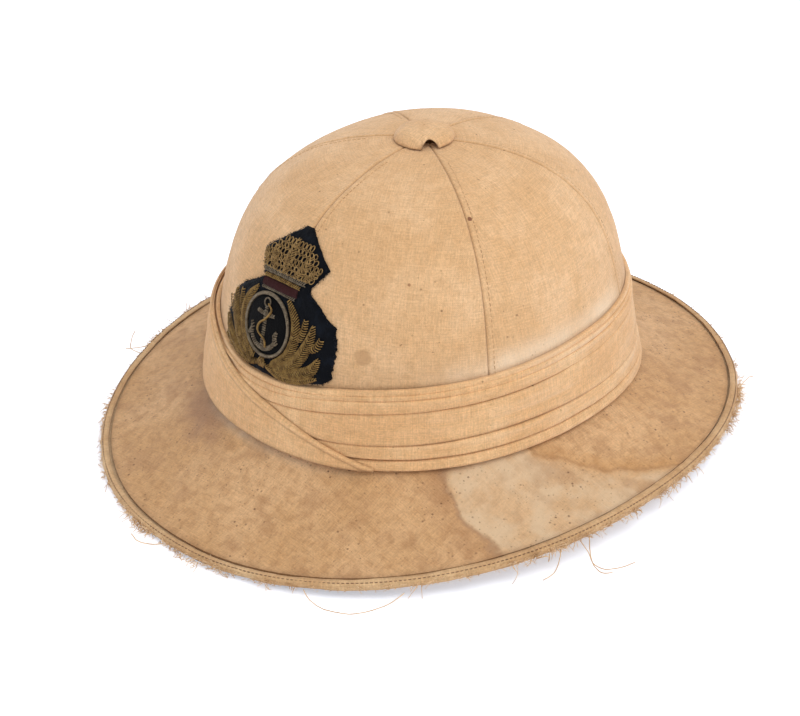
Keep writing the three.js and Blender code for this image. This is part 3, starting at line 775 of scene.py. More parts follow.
@dataclass
class CorkBody:
    """The cork crown and brim with their plain cotton facing, seen from below."""

    outside: float = -1.3
    inside: float = -5.8
    thickness: float = 4.0
    edge: float = 1.2
    edge_inset: float = 2.6
    finishes: Finishes | None = None

    def crown(self) -> bpy.types.Object:
        """Build the crown wall."""
        azimuth, t = np.meshgrid(spread(0, 360, 97)[:-1], spread(0, 1, 40))
        root = FORM.foot(azimuth) - FORM.foot_lift - 1.3
        level = np.sin(t * math.pi / 2) ** 0.9
        h = FORM.share(root) + (0.9992 - FORM.share(root)) * (1 - (1 - level) ** 1.0)
        faces = [FORM.crown(azimuth, h, offset) for offset in (self.outside, self.inside)]
        for face in faces:
            face[0, :, 2] -= self.thickness
        hole = np.radians(azimuth[-1])
        for face, z in zip(faces, (self.outside, self.inside)):
            face[-1] = np.stack([7 * np.sin(hole), FORM.centre + FORM.lean - 7 * np.cos(hole),
                                 FORM.top + z + 0 * hole], -1)
        inner = faces[1] + normals(faces[1], True) * noise(faces[1], 24, 5)[..., None] * 0.25
        maps = {"cloth": ring_map(azimuth, faces[1][..., 2], 95)}
        piece = plate("cork_crown_faced", faces[0], inner, True, maps, blank(azimuth))
        return settle(piece, self.finishes.facing, "cork", "cork_crown")

    def brim(self) -> bpy.types.Object:
        """Build the brim."""
        azimuth, u = np.meshgrid(spread(0, 360, 145)[:-1], spread(0, 1, 24))
        top = FORM.brim(azimuth, u, 1.3)
        depth = self.edge + (self.thickness - self.edge) * np.minimum(1, 4 * (1 - u))
        under = FORM.brim(azimuth, u, 1.3 + depth)
        start = FORM.brim(azimuth[:1], u[:1], 1.3, -1.0), FORM.brim(azimuth[:1], u[:1], 1.3 + self.thickness, -1.0)
        ends = [FORM.rim(azimuth[:1], self.edge_inset, z) for z in (2.5, 1.3)]
        top, under = (np.concatenate([a, b, c]) for a, b, c in zip(start, (top, under), ends))
        flat = {"cloth": np.concatenate([under[..., :2], under[:, :1, :2]], 1) * MM}
        piece = plate("cork_brim_faced", top, under, True, flat, blank(top[..., 0]))
        return settle(piece, self.finishes.facing, "cork", "cork_brim")


def ring_map(azimuth: Array, height: Array, radius: float) -> Array:
    """UV map of a ring: distance round it, and height, in metres."""
    around = np.concatenate([azimuth, azimuth[:, :1] + 360], 1)
    up = np.concatenate([height, height[:, :1]], 1)
    return np.stack([np.radians(around) * radius, up], -1) * MM


def blank(grid: Array, **shades: Array) -> dict[str, Array]:
    """Shades of a piece, nought where they aren't given."""
    return {"soil": 0 * grid, "bleach": 0 * grid} | shades


@dataclass
class CrownCover:
    """The six cloth gores, with turned-in seams and a row of stitches beside each."""

    panels: int = 6
    cloth: float = 0.8
    seam_gap: float = 0.05
    vent: float = 8.0
    stitch_from_seam: float = 2.9
    finishes: Finishes | None = None

    def rise(self) -> Array:
        """Shares of the crown's height for the rows, evenly spaced along the cloth."""
        h = 1 - spread(0, 1, 4000) ** 2.4
        line = FORM.crown(np.zeros(4000), h)
        way = np.concatenate([[0], np.cumsum(np.linalg.norm(np.diff(line, axis=0), axis=1))])
        return np.interp(spread(self.vent, way[-1], 84), way, h)

    def surface(self, azimuth: Array, h: Array, seam: Array) -> Array:
        """The outer face with its dents, puckers and seam."""
        points = FORM.crown(azimuth, h)
        out = normals(points, False)
        radius = np.hypot(points[..., 0], points[..., 1])
        lift = 0.40 * noise(points, 36, 11) + 0.10 * noise(points, (26, 26, 6), 12)
        lift += 0.16 * noise(points, 8, 13) * bump(radius, 34) + 0.05 * noise(points, 3.2, 14)
        pucker = np.sin(points[..., 2] * 0.9 + 2 * noise(points, 15, 15)) * bump(seam - 2.5, 2.6)
        lift += -0.42 * bump(seam, 0.4) + 0.26 * bump(seam - 1.6, 1.1) + 0.10 * pucker
        edge = np.clip((points[..., 2] - 40) / 30, 0, 1)
        return points + out * (np.clip(lift, -0.8, 0.9) * np.maximum(edge, 0.15))[..., None]

    def panel(self, number: int) -> bpy.types.Object:
        """Build one gore."""
        wide = 360 / self.panels
        close = np.array([0, 0.4, 0.8, 1.2, 1.7, 2.3, 3.0, 3.9, 5.0, 6.5])
        middle = spread(9, 96, 34)
        across = np.concatenate([close, middle, (105 - close[::-1])]) / 105 * wide
        azimuth, h = np.meshgrid(number * wide + across, self.rise())
        foot = FORM.share(FORM.foot(azimuth) - FORM.foot_lift - 0.9)
        h = foot + (h - h.min()) / (h.max() - h.min()) * (0.9994 - foot)
        radius = FORM.plan(azimuth, FORM.half_width, FORM.half_length, FORM.power) * FORM.scale(h)
        away = np.minimum(azimuth - number * wide, (number + 1) * wide - azimuth)
        seam = np.radians(away) * radius
        outer = self.surface(azimuth, h, seam)
        side = np.where(azimuth - number * wide < wide / 2, 1, -1) * self.seam_gap * bump(seam, 1.5)
        turn = np.radians(azimuth)
        outer += np.stack([np.cos(turn) * side, np.sin(turn) * side, 0 * side], -1)
        inner = outer - normals(outer, False) * self.cloth * np.where(seam < 1.0, 0.5, 1)[..., None]
        off = number * wide + wide / 2
        up = np.cumsum(np.linalg.norm(np.diff(outer, axis=0, prepend=outer[:1]), axis=-1), axis=0)
        maps = {"cloth": np.stack([np.radians(azimuth - off) * radius, up], -1) * MM}
        above = outer[..., 2] - FORM.head(azimuth)
        # The side that faces the overhead lamp, from 40 to 125 degrees.
        side_light = np.clip((azimuth - 40) / 25, 0, 1) * np.clip((125 - azimuth) / 15, 0, 1)
        # Painted highlight: a pale band just above the puggaree on the lit side.
        bleach = bump(above - 3, 6) * side_light * (0.8 + 0.3 * noise(outer, 14, 21))
        # Darker along each seam; painted shade in a thin line at the puggaree's top edge and, away from the lit side, a
        # broad painted shade above it.
        soil = 0.30 * bump(seam, 0.5) + 0.35 * bump(above, 1.6) + 0.18 * bump(above - 2, 9) * (1 - side_light)
        shades = {"soil": np.clip(soil, 0, 1), "bleach": np.clip(bleach, 0, 1)}
        piece = plate(f"crown_gore_{number + 1}", outer, inner, False, maps, shades)
        settle(piece, self.finishes.crown, "crown_cloth", f"crown_panel_{number + 1}")
        return piece

    def stitches(self) -> bpy.types.Object:
        """Build the row of stitches on the left of each seam."""
        rows = []
        for number in range(self.panels):
            h = spread(FORM.share(58), 0.985, 160)
            line = FORM.crown(np.full(160, number * 360.0 / self.panels), h)
            radius = np.hypot(line[:, 0], line[:, 1])
            azimuth = number * 360.0 / self.panels + np.degrees(self.stitch_from_seam / radius)
            seam = np.full((160, 1), self.stitch_from_seam)
            grid = np.stack([azimuth - 0.5, azimuth, azimuth + 0.5], 1)
            rows.append(self.surface(grid, np.stack([h] * 3, 1), np.tile(seam, 3))[:, 1])
        work = ThreadWork(SmallPart.STITCH, radius=0.17, pitch=2.4, length=1.5)
        return settle(work.make("seam_stitches", rows, self.finishes.thread), None, "crown_cloth")


@dataclass
class VentButton:
    """The cloth-covered cap over the vent, with its arched notch."""

    radius: float = 14.5
    height: float = 6.2
    wall: float = 1.0
    power: float = 2.6
    notch_azimuth: float = 54.0
    notch_half: float = 15.0
    notch_height: float = 3.9
    finishes: Finishes | None = None

    def cap(self) -> bpy.types.Object:
        """Build the cap."""
        near = self.notch_azimuth + self.notch_half * np.sin(spread(-math.pi / 2, math.pi / 2, 25))
        rest = spread(self.notch_azimuth + self.notch_half, self.notch_azimuth + 360 - self.notch_half, 84)[1:-1]
        azimuth, t = np.meshgrid(np.concatenate([near, rest]), np.append(spread(0, 0.97, 34), 0.995))
        away = (azimuth - self.notch_azimuth) / self.notch_half
        arch = np.sqrt(np.maximum(1 - away**2, 0)) * self.notch_height
        z0 = np.where(np.abs(away) < 1, arch, 0)
        z = z0 + (self.height - z0) * np.sin(t * math.pi / 2)
        faces = []
        for inset in (0.0, self.wall):
            share = np.minimum(z / self.height, 0.99995)
            r = self.radius * (1 - share**2) ** (1 / self.power) - inset * (1 - t) ** 0.5
            turn = np.radians(azimuth)
            level = FORM.top + 0.3 + z - inset * np.minimum(1, 2 * t)
            faces.append(np.stack([r * np.sin(turn), FORM.centre + FORM.lean - r * np.cos(turn), level], -1))
        outer, inner = faces
        lip = 0.5 * bump(np.abs(away) - 1.05, 0.28) * (1 - t) ** 4
        outer = outer + normals(outer, True) * (0.18 * noise(outer, 5, 31) + lip)[..., None]
        # Painted shade round the foot of the cap and along the edge of its notch.
        soil = 0.8 * bump(np.abs(away) - 1, 0.12) * (1 - t) ** 3 + 0.5 * bump(t, 0.05)
        maps = {"cloth": np.concatenate([outer[..., :2], outer[:, :1, :2]], 1) * MM}
        piece = plate("vent_button_cap", outer, inner, True, maps, blank(azimuth, soil=np.clip(soil, 0, 1)))
        return settle(piece, self.finishes.crown, "crown_cloth", "vent_button")


@dataclass
class Brim:
    """The brim's cloth, its leather edge, its rolled binding and everything frayed."""

    cloth: float = 0.9
    clumps: tuple[tuple[float, float, int, float], ...] = (  # azimuth, spread, yarns, longest
        (-92, 10, 250, 4.0), (-68, 10, 230, 3.6), (-40, 12, 190, 3.0), (-9, 8, 290, 5.4), (14, 7, 170, 4.6),
        (36, 9, 120, 3.2), (62, 7, 240, 6.0), (80, 9, 250, 4.4), (102, 8, 250, 5.0), (130, 10, 330, 5.6),
        (180, 34, 200, 2.8), (245, 24, 160, 2.8),
    )
    finishes: Finishes | None = None

    def cover(self) -> bpy.types.Object:
        """Build the cloth on top of the brim."""
        azimuth, u = np.meshgrid(spread(-180, 180, 481)[:-1], spread(0, 1, 64))
        points = FORM.brim(azimuth, u, 0, 0.3)
        free = np.clip(u / 0.12, 0, 1) * np.clip((1 - u) / 0.06, 0, 1)
        wave = 0.55 * noise(points, 42, 41) + 0.16 * noise(points, 11, 42) + 0.06 * noise(points, 3.5, 43)
        outer = points + normals(points, True) * (wave * (0.1 + 0.9 * free))[..., None]
        inner = outer - np.array([0, 0, self.cloth])
        around = np.concatenate([azimuth, azimuth[:, :1] + 360], 1)
        out = np.concatenate([u, u[:, :1]], 1)
        maps = {"cloth": np.concatenate([outer[..., :2], outer[:, :1, :2]], 1) * MM,
                "place": np.stack([around / 100, out], -1)}
        # Painted shade in thin lines where the cloth runs under the puggaree's lowest fold and where it meets the
        # binding.
        soil = 0.25 * bump(u, 0.02) + 0.30 * bump(1 - u, 0.03)
        salt = bump(u - 0.03, 0.05) * bump(azimuth + 8, 26) * (0.7 + 0.4 * noise(outer, 6, 44))
        piece = plate("brim_cloth", outer, inner, True, maps, blank(azimuth, soil=soil, bleach=np.clip(salt, 0, 1)))
        settle(piece, self.finishes.brim, "brim_cloth", "brim_cover")
        return piece

    def torn(self, azimuth: Array) -> Array:
        """How far the binding has come open: most of all at the wearer's left and back."""
        return bump((azimuth + 360) % 360 - 130, 15) + 0.45 * bump((azimuth + 540) % 360 - 180 + 2, 13)

    def lip(self, azimuth: Array) -> Array:
        """How far the binding reaches in over the brim."""
        ring = np.stack([np.cos(np.radians(azimuth)), np.sin(np.radians(azimuth)), 0 * azimuth], -1)
        return 3.5 + 1.0 * np.sin(np.radians(azimuth)) ** 2 + 0.5 * noise(ring, 0.22, 44, 3)

    def leather(self) -> bpy.types.Object:
        """Build the leather strip."""
        azimuth = spread(0, 360, 481)[:-1]
        out = [(7, 0.0), (4, 0.0), (1.8, 0.02), (1.4, 0.3), (1.3, 1.2), (1.3, 2.2)]
        back = [(7, 1.0), (4, 1.0), (2.6, 1.0), (2.3, 1.1), (2.2, 1.6), (2.2, 2.2)]
        outer, inner = (np.stack([FORM.rim(azimuth, inset, z) for inset, z in run]) for run in (out, back))
        maps = {"cloth": ring_map(np.tile(azimuth, (6, 1)), outer[..., 2], 158)}
        piece = plate("edge_leather_strip", outer, inner, True, maps, blank(outer[..., 0]))
        return settle(piece, self.finishes.leather, "edge_leather", "edge_leather")

    def binding(self) -> bpy.types.Object:
        """Build the rolled cloth binding."""
        count = 960
        azimuth = spread(0, 360, count + 1)[:-1]
        torn, lip = self.torn(azimuth), self.lip(azimuth)
        low = 0.85 + 0.8 * bump((azimuth + 180) % 360 - 183, 15) + 0.25 * noise(np.stack([azimuth, 0 * azimuth, 0 * azimuth], -1), 4, 45, 3)
        rows = []
        for t in spread(0, 1, 15):
            if t < 0.45:
                k = t / 0.45
                inset, z = 0.25 * (1 - math.sin(math.pi * k)), low + (3.1 - low) * k
            else:
                k = (t - 0.45) / 0.55
                bend = math.sin(min(1, k * 2.2) * math.pi / 2)
                inset = lip * k**1.15
                z = 3.1 + 1.05 * bend + torn * (1.6 * k - 0.9 * k * k) + 0.12 * noise(
                    np.stack([azimuth, 0 * azimuth + 9 * t, 0 * azimuth], -1), 2.5, 46)
            rows.append(FORM.rim(azimuth, inset, z))
        outer = np.stack(rows)
        ripple = 0.14 * noise(outer, 4.5, 47) + 0.20 * noise(outer, (14, 14, 2.2), 48)
        out = normals(outer, True)
        outer = outer + out * np.clip(ripple, -0.3, 0.3)[..., None]
        inner = outer - out * 0.75
        # Painted shade along the binding's lower edge and along the edge of its lip, made uneven with noise.
        soil = np.tile(0.45 * bump(spread(0, 1, 15) - 1, 0.12) + 0.6 * bump(spread(0, 1, 15), 0.1), (count, 1)).T
        soil = soil * (0.7 + 0.5 * noise(outer, 8, 49))
        maps = {"cloth": ring_map(np.tile(azimuth, (15, 1)), 7 * np.tile(spread(0, 1, 15), (count, 1)).T, 158)}
        piece = plate("brim_edge_binding", outer, inner, True, maps, blank(soil, soil=np.clip(soil, 0, 1)))
        settle(piece, self.finishes.binding, "binding_cloth", "brim_binding")
        return piece

    def stitches(self) -> bpy.types.Object:
        """Build the machine stitches of the binding."""
        azimuth = spread(0, 360, 1441)[:-1]
        line = FORM.rim(azimuth, 1.15, 4.22 + 0.5 * self.torn(azimuth))
        work = ThreadWork(SmallPart.STITCH, radius=0.2, pitch=2.1, length=1.2)
        return settle(work.make("binding_stitches", [line], self.finishes.hole, True), None, "binding_cloth")

    def frays(self) -> bpy.types.Object:
        """Build the short yarns that stand out of the binding's raw edge, thickest where it is torn."""
        draw = np.random.default_rng(7)
        paths = []
        for middle, width, count, longest in self.clumps:
            for number in range(count):
                if number % 7 == 0:  # the yarns of one tuft start together and lean the same way
                    root = draw.normal(middle, width)
                    lean = draw.normal(0, 1.0)
                    reach = longest * (0.35 + 0.85 * draw.random() ** 2)
                azimuth = root + draw.normal(0, 0.8)
                length = reach * (0.45 + 0.75 * draw.random())
                way = spread(0, length, 7)
                bend = lean + draw.normal(0, 0.45) + draw.normal(0, 0.26) * way
                out = np.cumsum(np.cos(bend)) * length / 7
                round_ = np.cumsum(np.sin(bend)) * length / 7
                start = draw.uniform(0.5, 3.6)
                rise = draw.normal(0.10, 0.45) * way - 0.05 * way**2
                line = FORM.rim(azimuth + np.degrees(round_ / 160), 0.3 - out, 0)
                line[:, 2] = np.maximum(FORM.rest(azimuth) + start + rise, 0.15)
                paths.append(line)
        work = ThreadWork(SmallPart.TUBE, radius=0.14, sides=4)
        return settle(work.make("frayed_yarns", paths, self.finishes.fray), None, "binding_cloth")

    def loose_threads(self) -> bpy.types.Object:
        """Build the few long threads that hang from the edge."""
        ends = (  # azimuth where each leaves, then steps out, round and up from the rim
            (-62, ((0, 0, 0.6), (5, -3, 2.0), (10, -5, 4.5), (13, -11, 6.5), (15, -17, 8.0))),
            (-66, ((0, 0, 0.5), (4, -1, 0.6), (9, 1, 1.6), (14, 5, 3.5))),
            (24, ((0, 0, 0.5), (6, 5, 0.4), (11, 14, 0.3), (12, 25, 0.3), (8, 35, 0.3), (2, 43, 0.4))),
            (70, ((0, 0, 0.8), (5, 1, 0.5), (11, 0, 0.4), (16, 3, 0.4), (19, 10, 0.4), (20, 17, 0.5))),
            (72, ((0, 0, 0.8), (6, -4, 0.6), (12, -6, 0.5), (17, -5, 0.5), (20, -1, 0.6))),
            (66, ((0, 0, 0.8), (4, -3, 0.5), (8, -8, 0.4), (10, -14, 0.5))),
            (131, ((0, 0, 4.5), (3, 4, 6.0), (6, 9, 6.5), (8, 12, 5.0))),
            (-2, ((0, 0, 0.7), (4, -4, 0.4), (7, -10, 0.3), (6, -16, 0.3))),
        )
        paths = []
        for azimuth, steps in ends:
            table = np.array(steps, float)
            knots = np.arange(len(steps))
            fine = spread(0, len(steps) - 1, 12 * len(steps))
            smooth = np.stack([self.smooth(fine, knots, table[:, k]) for k in range(3)], -1)
            places = np.array([azimuth]) + np.degrees(smooth[:, 1] / 160)
            line = FORM.rim(places, -smooth[:, 0], 0)
            line[:, 2] = np.maximum(FORM.rest(places) * np.exp(-smooth[:, 0] / 9) + smooth[:, 2], 0.2)
            paths.append(line + 0.25 * np.stack([noise(line, 4, 50 + k) for k in (0, 1, 9)], -1) * [1, 1, 0.2])
        work = ThreadWork(SmallPart.TUBE, radius=0.23, sides=5)
        return settle(work.make("loose_threads", paths, self.finishes.fray), None, "binding_cloth")

    @staticmethod
    def smooth(at: Array, knots: Array, values: Array) -> Array:
        """Values between knots on a smooth curve."""
        slope = np.gradient(values)
        left = np.clip(at.astype(int), 0, len(knots) - 2)
        t = at - left
        a, b, m, n = values[left], values[left + 1], slope[left], slope[left + 1]
        return a + t * m + t**2 * (3 * (b - a) - 2 * m - n) + t**3 * (2 * (a - b) + m + n)


@dataclass(frozen=True)
class Fold:
    """One fold of the puggaree: how far its edges stand above the foot or below the head."""

    name: str
    node: str
    low: float
    high: float
    foot: float
    head: float
    squareness: float = 5.0


@dataclass
class Puggaree:
    """The folded scarf round the crown and its diagonal end."""

    folds: tuple[Fold, ...] = (
        Fold("puggaree_low_fold", "puggaree_fold_1", 0, 5.7, 3.7, 3.0),
        Fold("puggaree_second_fold", "puggaree_fold_2", 5.6, 13.6, 3.2, 2.5, 8),
        Fold("puggaree_flat_band", "puggaree_band", 13.0, -10.9, 2.4, 2.2, 16),
        Fold("puggaree_low_pleat", "puggaree_pleat_1", -11.4, -5.0, 2.3, 3.0, 6),
        Fold("puggaree_middle_pleat", "puggaree_pleat_2", -5.6, -2.3, 2.3, 2.8),
        Fold("puggaree_top_pleat", "puggaree_pleat_3", -2.9, 0, 2.0, 2.1),
    )
    inner: float = 0.3
    wrap_start: float = -67.5
    wrap_end: float = 30.5
    wrap_top: float = -45.0
    finishes: Finishes | None = None

    def edge(self, azimuth: Array, place: float) -> Array:
        """Height of a fold's edge, which wanders a little on the way round."""
        ring = np.stack([np.sin(np.radians(azimuth)), np.cos(np.radians(azimuth)), 0 * azimuth], -1)
        wander = noise(ring, 0.7, int(abs(place) * 10) + 60) * min(1.3, abs(place) * 0.35)
        if place > 0:
            return FORM.foot(azimuth) + place * (0.72 + 0.28 * np.clip((azimuth % 360) / 60, 0, 1)) + wander * 0.6
        return FORM.head(azimuth) + place + wander * 0.55 if place < 0 else FORM.head(azimuth)

    def fold(self, fold: Fold) -> bpy.types.Object:
        """Build one fold."""
        azimuth, t = np.meshgrid(spread(0, 360, 361)[:-1], spread(0, 1, 22))
        low = FORM.foot(azimuth) if fold.low == 0 else self.edge(azimuth, fold.low)
        high = self.edge(azimuth, fold.high)
        z = low + (high - low) * (0.5 - 0.5 * np.cos(math.pi * t))
        t = (z - low) / (high - low)
        flat = FORM.crown(azimuth, FORM.share(z), 0)
        stand = fold.foot + (fold.head - fold.foot) * t
        ring = np.stack([np.radians(azimuth) * 100, 0 * z, z], -1)
        crease = 0.26 * noise(ring, (46, 9, 2.6), 70 + len(fold.name)) + 0.24 * noise(flat, 26, 80)
        stand = stand + np.clip(crease, -0.45, 0.5) + 0.07 * noise(flat, 5, 81)
        rounded = np.maximum(1 - np.abs(2 * t - 1) ** fold.squareness, 0) ** 0.5
        offset = self.inner + 0.15 + (stand - self.inner - 0.15) * rounded
        outer = FORM.crown(azimuth, FORM.share(z), offset)
        inner = FORM.crown(azimuth, FORM.share(z), self.inner)
        # Painted shade along the fold's lower and upper edges, where it meets the folds beside it, and in the hollows
        # of its creases.
        soil = 0.42 * bump(t, 0.07) + 0.20 * bump(t - 1, 0.05) + 0.22 * np.clip(-crease * 3, 0, 1)
        # Painted highlight on the ridges of its creases, on the lit side from 20 to 140 degrees.
        bleach = 0.5 * np.clip(crease * 2.2, 0, 1) * np.clip((azimuth - 20) / 50, 0, 1) * (azimuth < 140)
        shades = {"soil": np.clip(soil, 0, 1) * 0.8, "bleach": np.clip(bleach, 0, 1)}
        piece = plate(fold.name, outer, inner, True, {"cloth": ring_map(azimuth, z, 104)}, shades)
        settle(piece, self.finishes.puggaree, "puggaree_cloth", fold.node)
        return piece

    def wrap_layer(self, name: str, lift: float, inner: float, drop: float, node: str | None) -> bpy.types.Object:
        """Build one layer of the diagonal end.

        Args:
            name: The piece's name.
            lift: How far its edge lies above the lower layer's.
            inner: Offset of its inner face from the crown cloth.
            drop: How far it starts above the foot.
            node: CAD node that it stands for, if any.

        Returns:
            The cloth.
        """
        azimuth, t = np.meshgrid(spread(self.wrap_start, self.wrap_end, 160), spread(0, 1, 40))
        low = FORM.foot(azimuth) + 0.3 + drop
        slope = np.clip((self.wrap_end - azimuth - lift * 1.2) / (self.wrap_end - self.wrap_top), 0, 1)
        high = low + 1.6 + (FORM.head(azimuth) - 0.4 - low - 1.6) * np.sin(slope * math.pi / 2) ** 1.05
        high = np.minimum(high + lift * np.clip(slope * 3, 0, 1), FORM.head(azimuth) - 0.4)
        z = low + (high - low) * t
        above = high - z
        tail = np.clip((self.wrap_end - azimuth) / 3, 0.05, 1) ** 0.5 * np.clip((azimuth - self.wrap_start) / 6, 0.1, 1)
        flow = np.stack([np.radians(azimuth) * 100, 0 * z, above], -1)
        crease = 0.22 * noise(flow, (60, 9, 4.5), 90) + 0.28 * bump(above - 1.1, 0.8) - 0.22 * bump(above - 2.4, 0.6)
        crease += 0.35 * bump(above - 9 - 2 * noise(flow, (70, 9, 90), 93), 1.8) + 0.18 * noise(flow, 15, 91)
        rounded = np.maximum(1 - np.clip(1 - above / 0.8, 0, 1) ** 2, 0) ** 0.5
        bottom = np.maximum(1 - np.clip(1 - (z - low) / 1.5, 0, 1) ** 2, 0) ** 0.5
        tuck = inner - 1.3 * bump(azimuth - self.wrap_start, 7)
        offset = tuck + 0.15 + (0.9 + np.clip(crease, -0.4, 0.6)) * rounded * bottom * tail
        outer = FORM.crown(azimuth, FORM.share(z), offset)
        back = FORM.crown(azimuth, FORM.share(z), tuck - 0.7 * (1 - tail))
        maps = {"cloth": np.stack([np.radians(azimuth) * 104, z], -1) * MM}
        # Painted shade along its lower edge, along its top edge and in the crease just below the top edge.
        soil = 0.6 * bump(z - low, 1.2) + 0.4 * bump(above - 2.4, 0.5) + 0.3 * bump(above, 0.3)
        piece = plate(name, outer, back, False, maps, {"soil": np.clip(soil, 0, 1), "bleach": 0 * soil})
        settle(piece, self.finishes.puggaree, "puggaree_cloth", *([node] if node else []))
        return piece


@dataclass(frozen=True)
class Leaf:
    """A padded shape of bullion: its middle line from the badge's axis and its half width."""

    line: tuple[tuple[float, float], ...]
    half: float
    slant: float = 0.8
    blunt: float = 0.55


@dataclass
class Badge:
    """A generic bullion badge on ragged felt: leaf wreath, plain anchor, fan of leaves above a band."""

    axis: float = -6.5
    felt: tuple[float, float] = (0.35, 1.9)
    bullion: float = 2.25
    strand: float = 0.27
    pitch: float = 1.12
    outline: tuple[tuple[float, float, float], ...] = (  # height, left, right
        (61.3, -20, 2), (62.9, -31, 12), (65.6, -37.5, 27.5), (69, -38.5, 31.5), (78, -39, 32), (86, -36.5, 32),
        (92, -33, 30), (95.5, -28.5, 24.5), (99.5, -21.5, 19.5), (103, -15.5, 13.5), (106, -17, 13.5),
        (113.5, -21, 19.5), (119, -13.5, 11.5), (125.5, -3.5, 1),
    )
    oval_height: float = 84.2
    oval_radius: float = 13.6
    wreath: tuple[Leaf, ...] = (
        Leaf(((6, 67.3), (14.3, 73.6), (17.9, 82), (16.8, 91), (10.6, 99)), 2.7),
        Leaf(((8, 65.8), (17, 70), (23, 77), (26.3, 85), (27.2, 92)), 3.1),
        Leaf(((13, 65.2), (22, 67.6), (29, 71.5), (32.6, 78)), 2.9),
        Leaf(((3, 65.6), (12, 63.9), (23, 65.2), (32.5, 68.3)), 2.2),
        Leaf(((20.4, 83), (22.2, 88), (22.6, 93.5)), 1.7, 0.2, 0.2),
        Leaf(((27.5, 80.5), (30.5, 83), (32.2, 87)), 1.8, 0.2, 0.2),
    )
    crest: tuple[Leaf, ...] = (
        Leaf(((-15, 108.5), (-18.2, 111.5), (-18.6, 114.2)), 1.5),
        Leaf(((-9.5, 108.5), (-12.2, 112.5), (-12.6, 117.4)), 1.9),
        Leaf(((-3, 108.5), (-3.2, 114), (-2.4, 122)), 2.2),
        Leaf(((3.4, 108.5), (6.8, 112), (8.8, 117)), 1.9),
        Leaf(((9, 108.5), (13.0, 110.8), (16.0, 113.6)), 1.5),
    )
    finishes: Finishes | None = None

    def route(self, line: Sequence[tuple[float, float]], count: int) -> tuple[Array, Array, float]:
        """Smooth a line across the badge.

        Args:
            line: Its points, distance across and height.
            count: How many places to return.

        Returns:
            Places, unit directions across the line, and its length.
        """
        table = np.array(line, float)
        knots = np.arange(len(table))
        fine = spread(0, len(table) - 1, 200)
        path = np.stack([Brim.smooth(fine, knots, table[:, k]) for k in (0, 1)], -1)
        way = np.concatenate([[0], np.cumsum(np.linalg.norm(np.diff(path, axis=0), axis=1))])
        at = spread(0, way[-1], count)
        places = np.stack([np.interp(at, way, path[:, k]) for k in (0, 1)], -1)
        along = np.gradient(places, axis=0)
        along /= np.linalg.norm(along, axis=1, keepdims=True) + 1e-9
        return places, np.stack([-along[:, 1], along[:, 0]], -1), float(way[-1])

    def strands(self, leaf: Leaf, side: float = 1.0, about: float = 0.0, lift: float = 0.0) -> list[Array]:
        """Lay bullion across a padded shape.

        Args:
            leaf: The shape.
            side: -1 to mirror it.
            about: Distance across at which its own nought lies.
            lift: Extra height over the felt.

        Returns:
            One path for each strand.
        """
        places, across, length = self.route(leaf.line, 240)
        count = max(3, round(length / self.pitch))
        paths = []
        for number in range(count):
            t = (number + 0.5) / count
            half = leaf.half * max(math.sin(math.pi * min(1, 0.10 + 0.90 * t)), 0.05) ** leaf.blunt
            v = spread(-1, 1, 9)
            at = np.clip(t + (leaf.slant * np.abs(v) - leaf.slant / 2) * half / length, 0, 1) * 239
            spot = [np.interp(at, np.arange(240), grid[:, k]) for grid in (places, across) for k in (0, 1)]
            x = side * (spot[0] + spot[2] * half * v) + about
            z = spot[1] + spot[3] * half * v
            jitter = 0.10 * hashed(np.array([number, int(leaf.line[0][0] * 7), int(side)]), 5)
            height = self.bullion + lift + (0.35 + 0.42 * leaf.half) * np.sqrt(1 - 0.94 * v**2) - 0.3 + jitter
            paths.append(FORM.front(x, z, height))
        return paths

    def lay(self, name: str, paths: list[Array], finish: bpy.types.Material, slot: str, *nodes: str,
            radius: float | None = None) -> bpy.types.Object:
        """Turn paths into strands and settle them."""
        work = ThreadWork(SmallPart.TUBE, radius=radius or self.strand, sides=7)
        return settle(work.make(name, paths, finish), None, slot, *nodes)

    def backing(self) -> bpy.types.Object:
        """Build the ragged felt and the fibres round its edge."""
        table = np.array(self.outline)
        z, v = np.meshgrid(spread(table[0, 0], table[-1, 0], 130), spread(-1, 1, 90), indexing="ij")
        rag = np.stack([z, v * 30, 0 * z], -1)
        left = np.interp(z, table[:, 0], table[:, 1]) + 0.9 * noise(rag * [1, 0, 1], 1.6, 101, 3)
        right = np.interp(z, table[:, 0], table[:, 2]) + 0.9 * noise(rag * [1, 0, 1], 1.6, 103, 3)
        x = (left + right) / 2 + (right - left) / 2 * v
        flat = np.stack([x, z, 0 * z], -1)
        top = self.felt[1] - 0.55 * bump(1 - np.abs(v), 0.05) + 0.22 * noise(flat, 1.4, 105, 3)
        outer, inner = FORM.front(x, z, top), FORM.front(x, z, self.felt[0])
        piece = plate("badge_felt", outer, inner, False, {"cloth": flat[..., :2] * MM}, blank(z))
        settle(piece, self.finishes.felt, "felt", "badge_backing")
        edge = [FORM.front(x[:, k], z[:, k], 1.2) for k in (0, -1)]
        work = ThreadWork(SmallPart.FIBRE, radius=0.09, pitch=0.28, length=1.9, sides=4, seed=3)
        return settle(work.make("felt_fibres", edge, self.finishes.felt), None, "felt")

    def leaves(self) -> None:
        """Build the two sides of the wreath and the knot between them."""
        for side, node, stretch in ((-1.0, "badge_wreath_left", 0.95), (1.0, "badge_wreath_right", 1.0)):
            paths = []
            for leaf in self.wreath:
                drawn = Leaf(tuple((x * stretch, z) for x, z in leaf.line), leaf.half, leaf.slant, leaf.blunt)
                paths += self.strands(drawn, side, self.axis)
            self.lay(node + "_bullion", paths, self.finishes.gold, "gold_bullion", node)
        knot = Leaf(((-2.4, 67.6), (0, 66.4), (2.4, 65.2)), 1.9, 0.0, 0.25)
        self.lay("wreath_knot", self.strands(knot, 1.0, self.axis, 0.5), self.finishes.pale_gold, "gold_bullion")
        self.lay("wreath_knot_tail", self.strands(knot, -1.0, self.axis, 0.3), self.finishes.gold, "gold_bullion")

